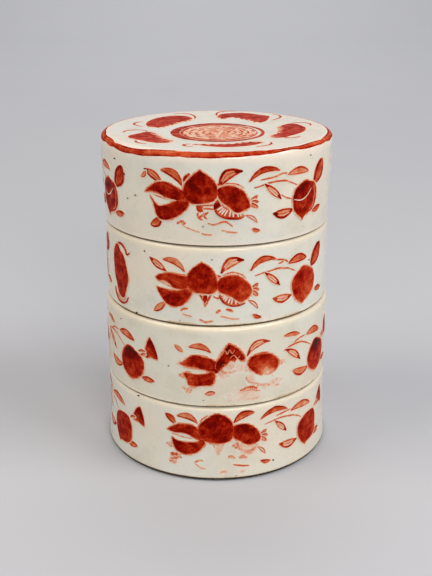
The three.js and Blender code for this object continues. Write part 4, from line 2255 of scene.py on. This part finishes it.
@dataclass(frozen=True)
class Studio:
    """A pale paper sweep under soft lights, and the camera that took the picture."""

    paper: SweepPaper = SweepPaper()
    width: float = 8.0
    front: float = -3.0
    back: float = 3.4
    rise: float = 3.0
    curve: float = 1.6
    curve_steps: int = 24
    sharp: float = 60.0
    camera_place: Point3 = (-0.0003, -0.4059, 0.22165)
    camera_tilt: float = math.radians(90.0 - 20.32)
    lens: float = 58.16
    nearest: float = 0.01
    sky: Colour = (0.93, 0.95, 1.0, 1.0)
    sky_strength: float = 0.32
    lights: tuple[SoftLight, ...] = (
        SoftLight("front_softbox", (0.45, -1.4, 0.72), size=0.5, power=7.5, colour=(1.0, 0.98, 0.95)),
        SoftLight("right_softbox", (0.85, -0.4, 1.1), size=0.7, power=8.6, colour=(0.985, 0.985, 0.985)),
        SoftLight("left_softbox", (-0.85, -0.3, 1.1), size=0.7, power=6.7, colour=(1.0, 0.935, 0.83)),
        SoftLight("backdrop_softbox", (0.0, 1.3, 2.2), (0.0, 1.5, 0.0), size=1.2, power=8.0, spread=110.0),
        SoftLight("far_softbox", (0.0, 2.4, 2.4), (0.0, 3.2, 0.4), size=1.2, power=9.0, spread=120.0),
    )

    def build(self) -> None:
        """Sets up the sweep, the lights, the sky and the camera."""
        self.build_sweep()
        for light in self.lights:
            light.build()
        world = bpy.data.worlds.new("studio_sky")
        world.use_nodes = True
        backdrop = world.node_tree.nodes["Background"]
        backdrop.inputs["Color"].default_value = self.sky
        backdrop.inputs["Strength"].default_value = self.sky_strength
        scene = bpy.context.scene
        scene.world = world
        scene.view_settings.view_transform = "Standard"
        lens = bpy.data.cameras.new("photo_camera")
        lens.lens = self.lens
        lens.clip_start = self.nearest
        camera = bpy.data.objects.new("photo_camera", lens)
        camera.location = self.camera_place
        camera.rotation_euler = (self.camera_tilt, 0.0, 0.0)
        scene.collection.objects.link(camera)
        scene.camera = camera

    def build_sweep(self) -> None:
        """Builds the paper from the floor up to the wall behind in one curve."""
        work = bmesh.new()
        path = [(self.front, 0.0), (self.back, 0.0), (self.back, self.rise)]
        rail = [work.verts.new((-self.width / 2, y, z)) for y, z in path]
        for pair in zip(rail, rail[1:]):
            work.edges.new(pair)
        bmesh.ops.bevel(
            work, geom=[rail[1]], offset=self.curve, offset_type="OFFSET", segments=self.curve_steps,
            profile=0.5, affect="VERTICES", material=-1,
        )
        swept = bmesh.ops.extrude_edge_only(work, edges=work.edges[:])["geom"]
        bmesh.ops.translate(work, verts=points_of(swept), vec=(self.width, 0.0, 0.0))
        bmesh.ops.recalc_face_normals(work, faces=work.faces[:])
        finished_piece("paper_sweep", work, self.paper.material(), self.sharp)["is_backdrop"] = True


def main() -> None:
    """Builds the studio, the four pieces and their painting."""
    logging.basicConfig(level=logging.INFO, format="%(name)s: %(message)s")
    Studio().build()
    plain = PorcelainGlaze("lower_glaze")
    yellower = replace(
        plain,
        name="middle_glaze",
        cool=screen_colour(223, 219, 202),
        warm=screen_colour(228, 215, 191),
        dull=screen_colour(211, 203, 182),
    )
    same = replace(plain, name="upper_glaze")
    # The lid's edges are paler and pinker: a painted highlight under its band
    highlight_edged = replace(plain, name="lid_glaze", cream_and_highlight=screen_colour(247, 231, 212))
    lower = FootedTray("lower_tray", plain, rim_radius=50.7, top_radius=50.7, height=35.4, hand=0.6)
    middle = StackingTray("middle_tray", yellower, rim_radius=50.7, top_radius=50.7, height=36.6, hand=2.1)
    upper = StackingTray("upper_tray", same, rim_radius=49.6, top_radius=49.6, height=34.4, hand=3.9)
    lid = DeepLid("lid", highlight_edged, rim_radius=49.5, top_radius=50.5, height=38.2, hand=5.2)
    enamel = IronRedEnamel().material()
    pieces = []
    for piece, painting in zip((lower, middle, upper, lid), WALL_PAINTINGS):
        pieces.append(piece.build())
        pieces.append(painting.paint(piece).finish(piece.node, enamel))
    pieces += [coat.finish(lid.node, enamel) for coat in LidPainting(lid).paint()]
    for piece in pieces:
        log.info("%s: %d faces", piece.name, len(piece.data.polygons))
    boxes = {"cad": CAD_BOX, "visual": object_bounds()}
    {name: [list(corner) for corner in box] for name, box in boxes.items()}


if __name__ == "__main__":
    main()
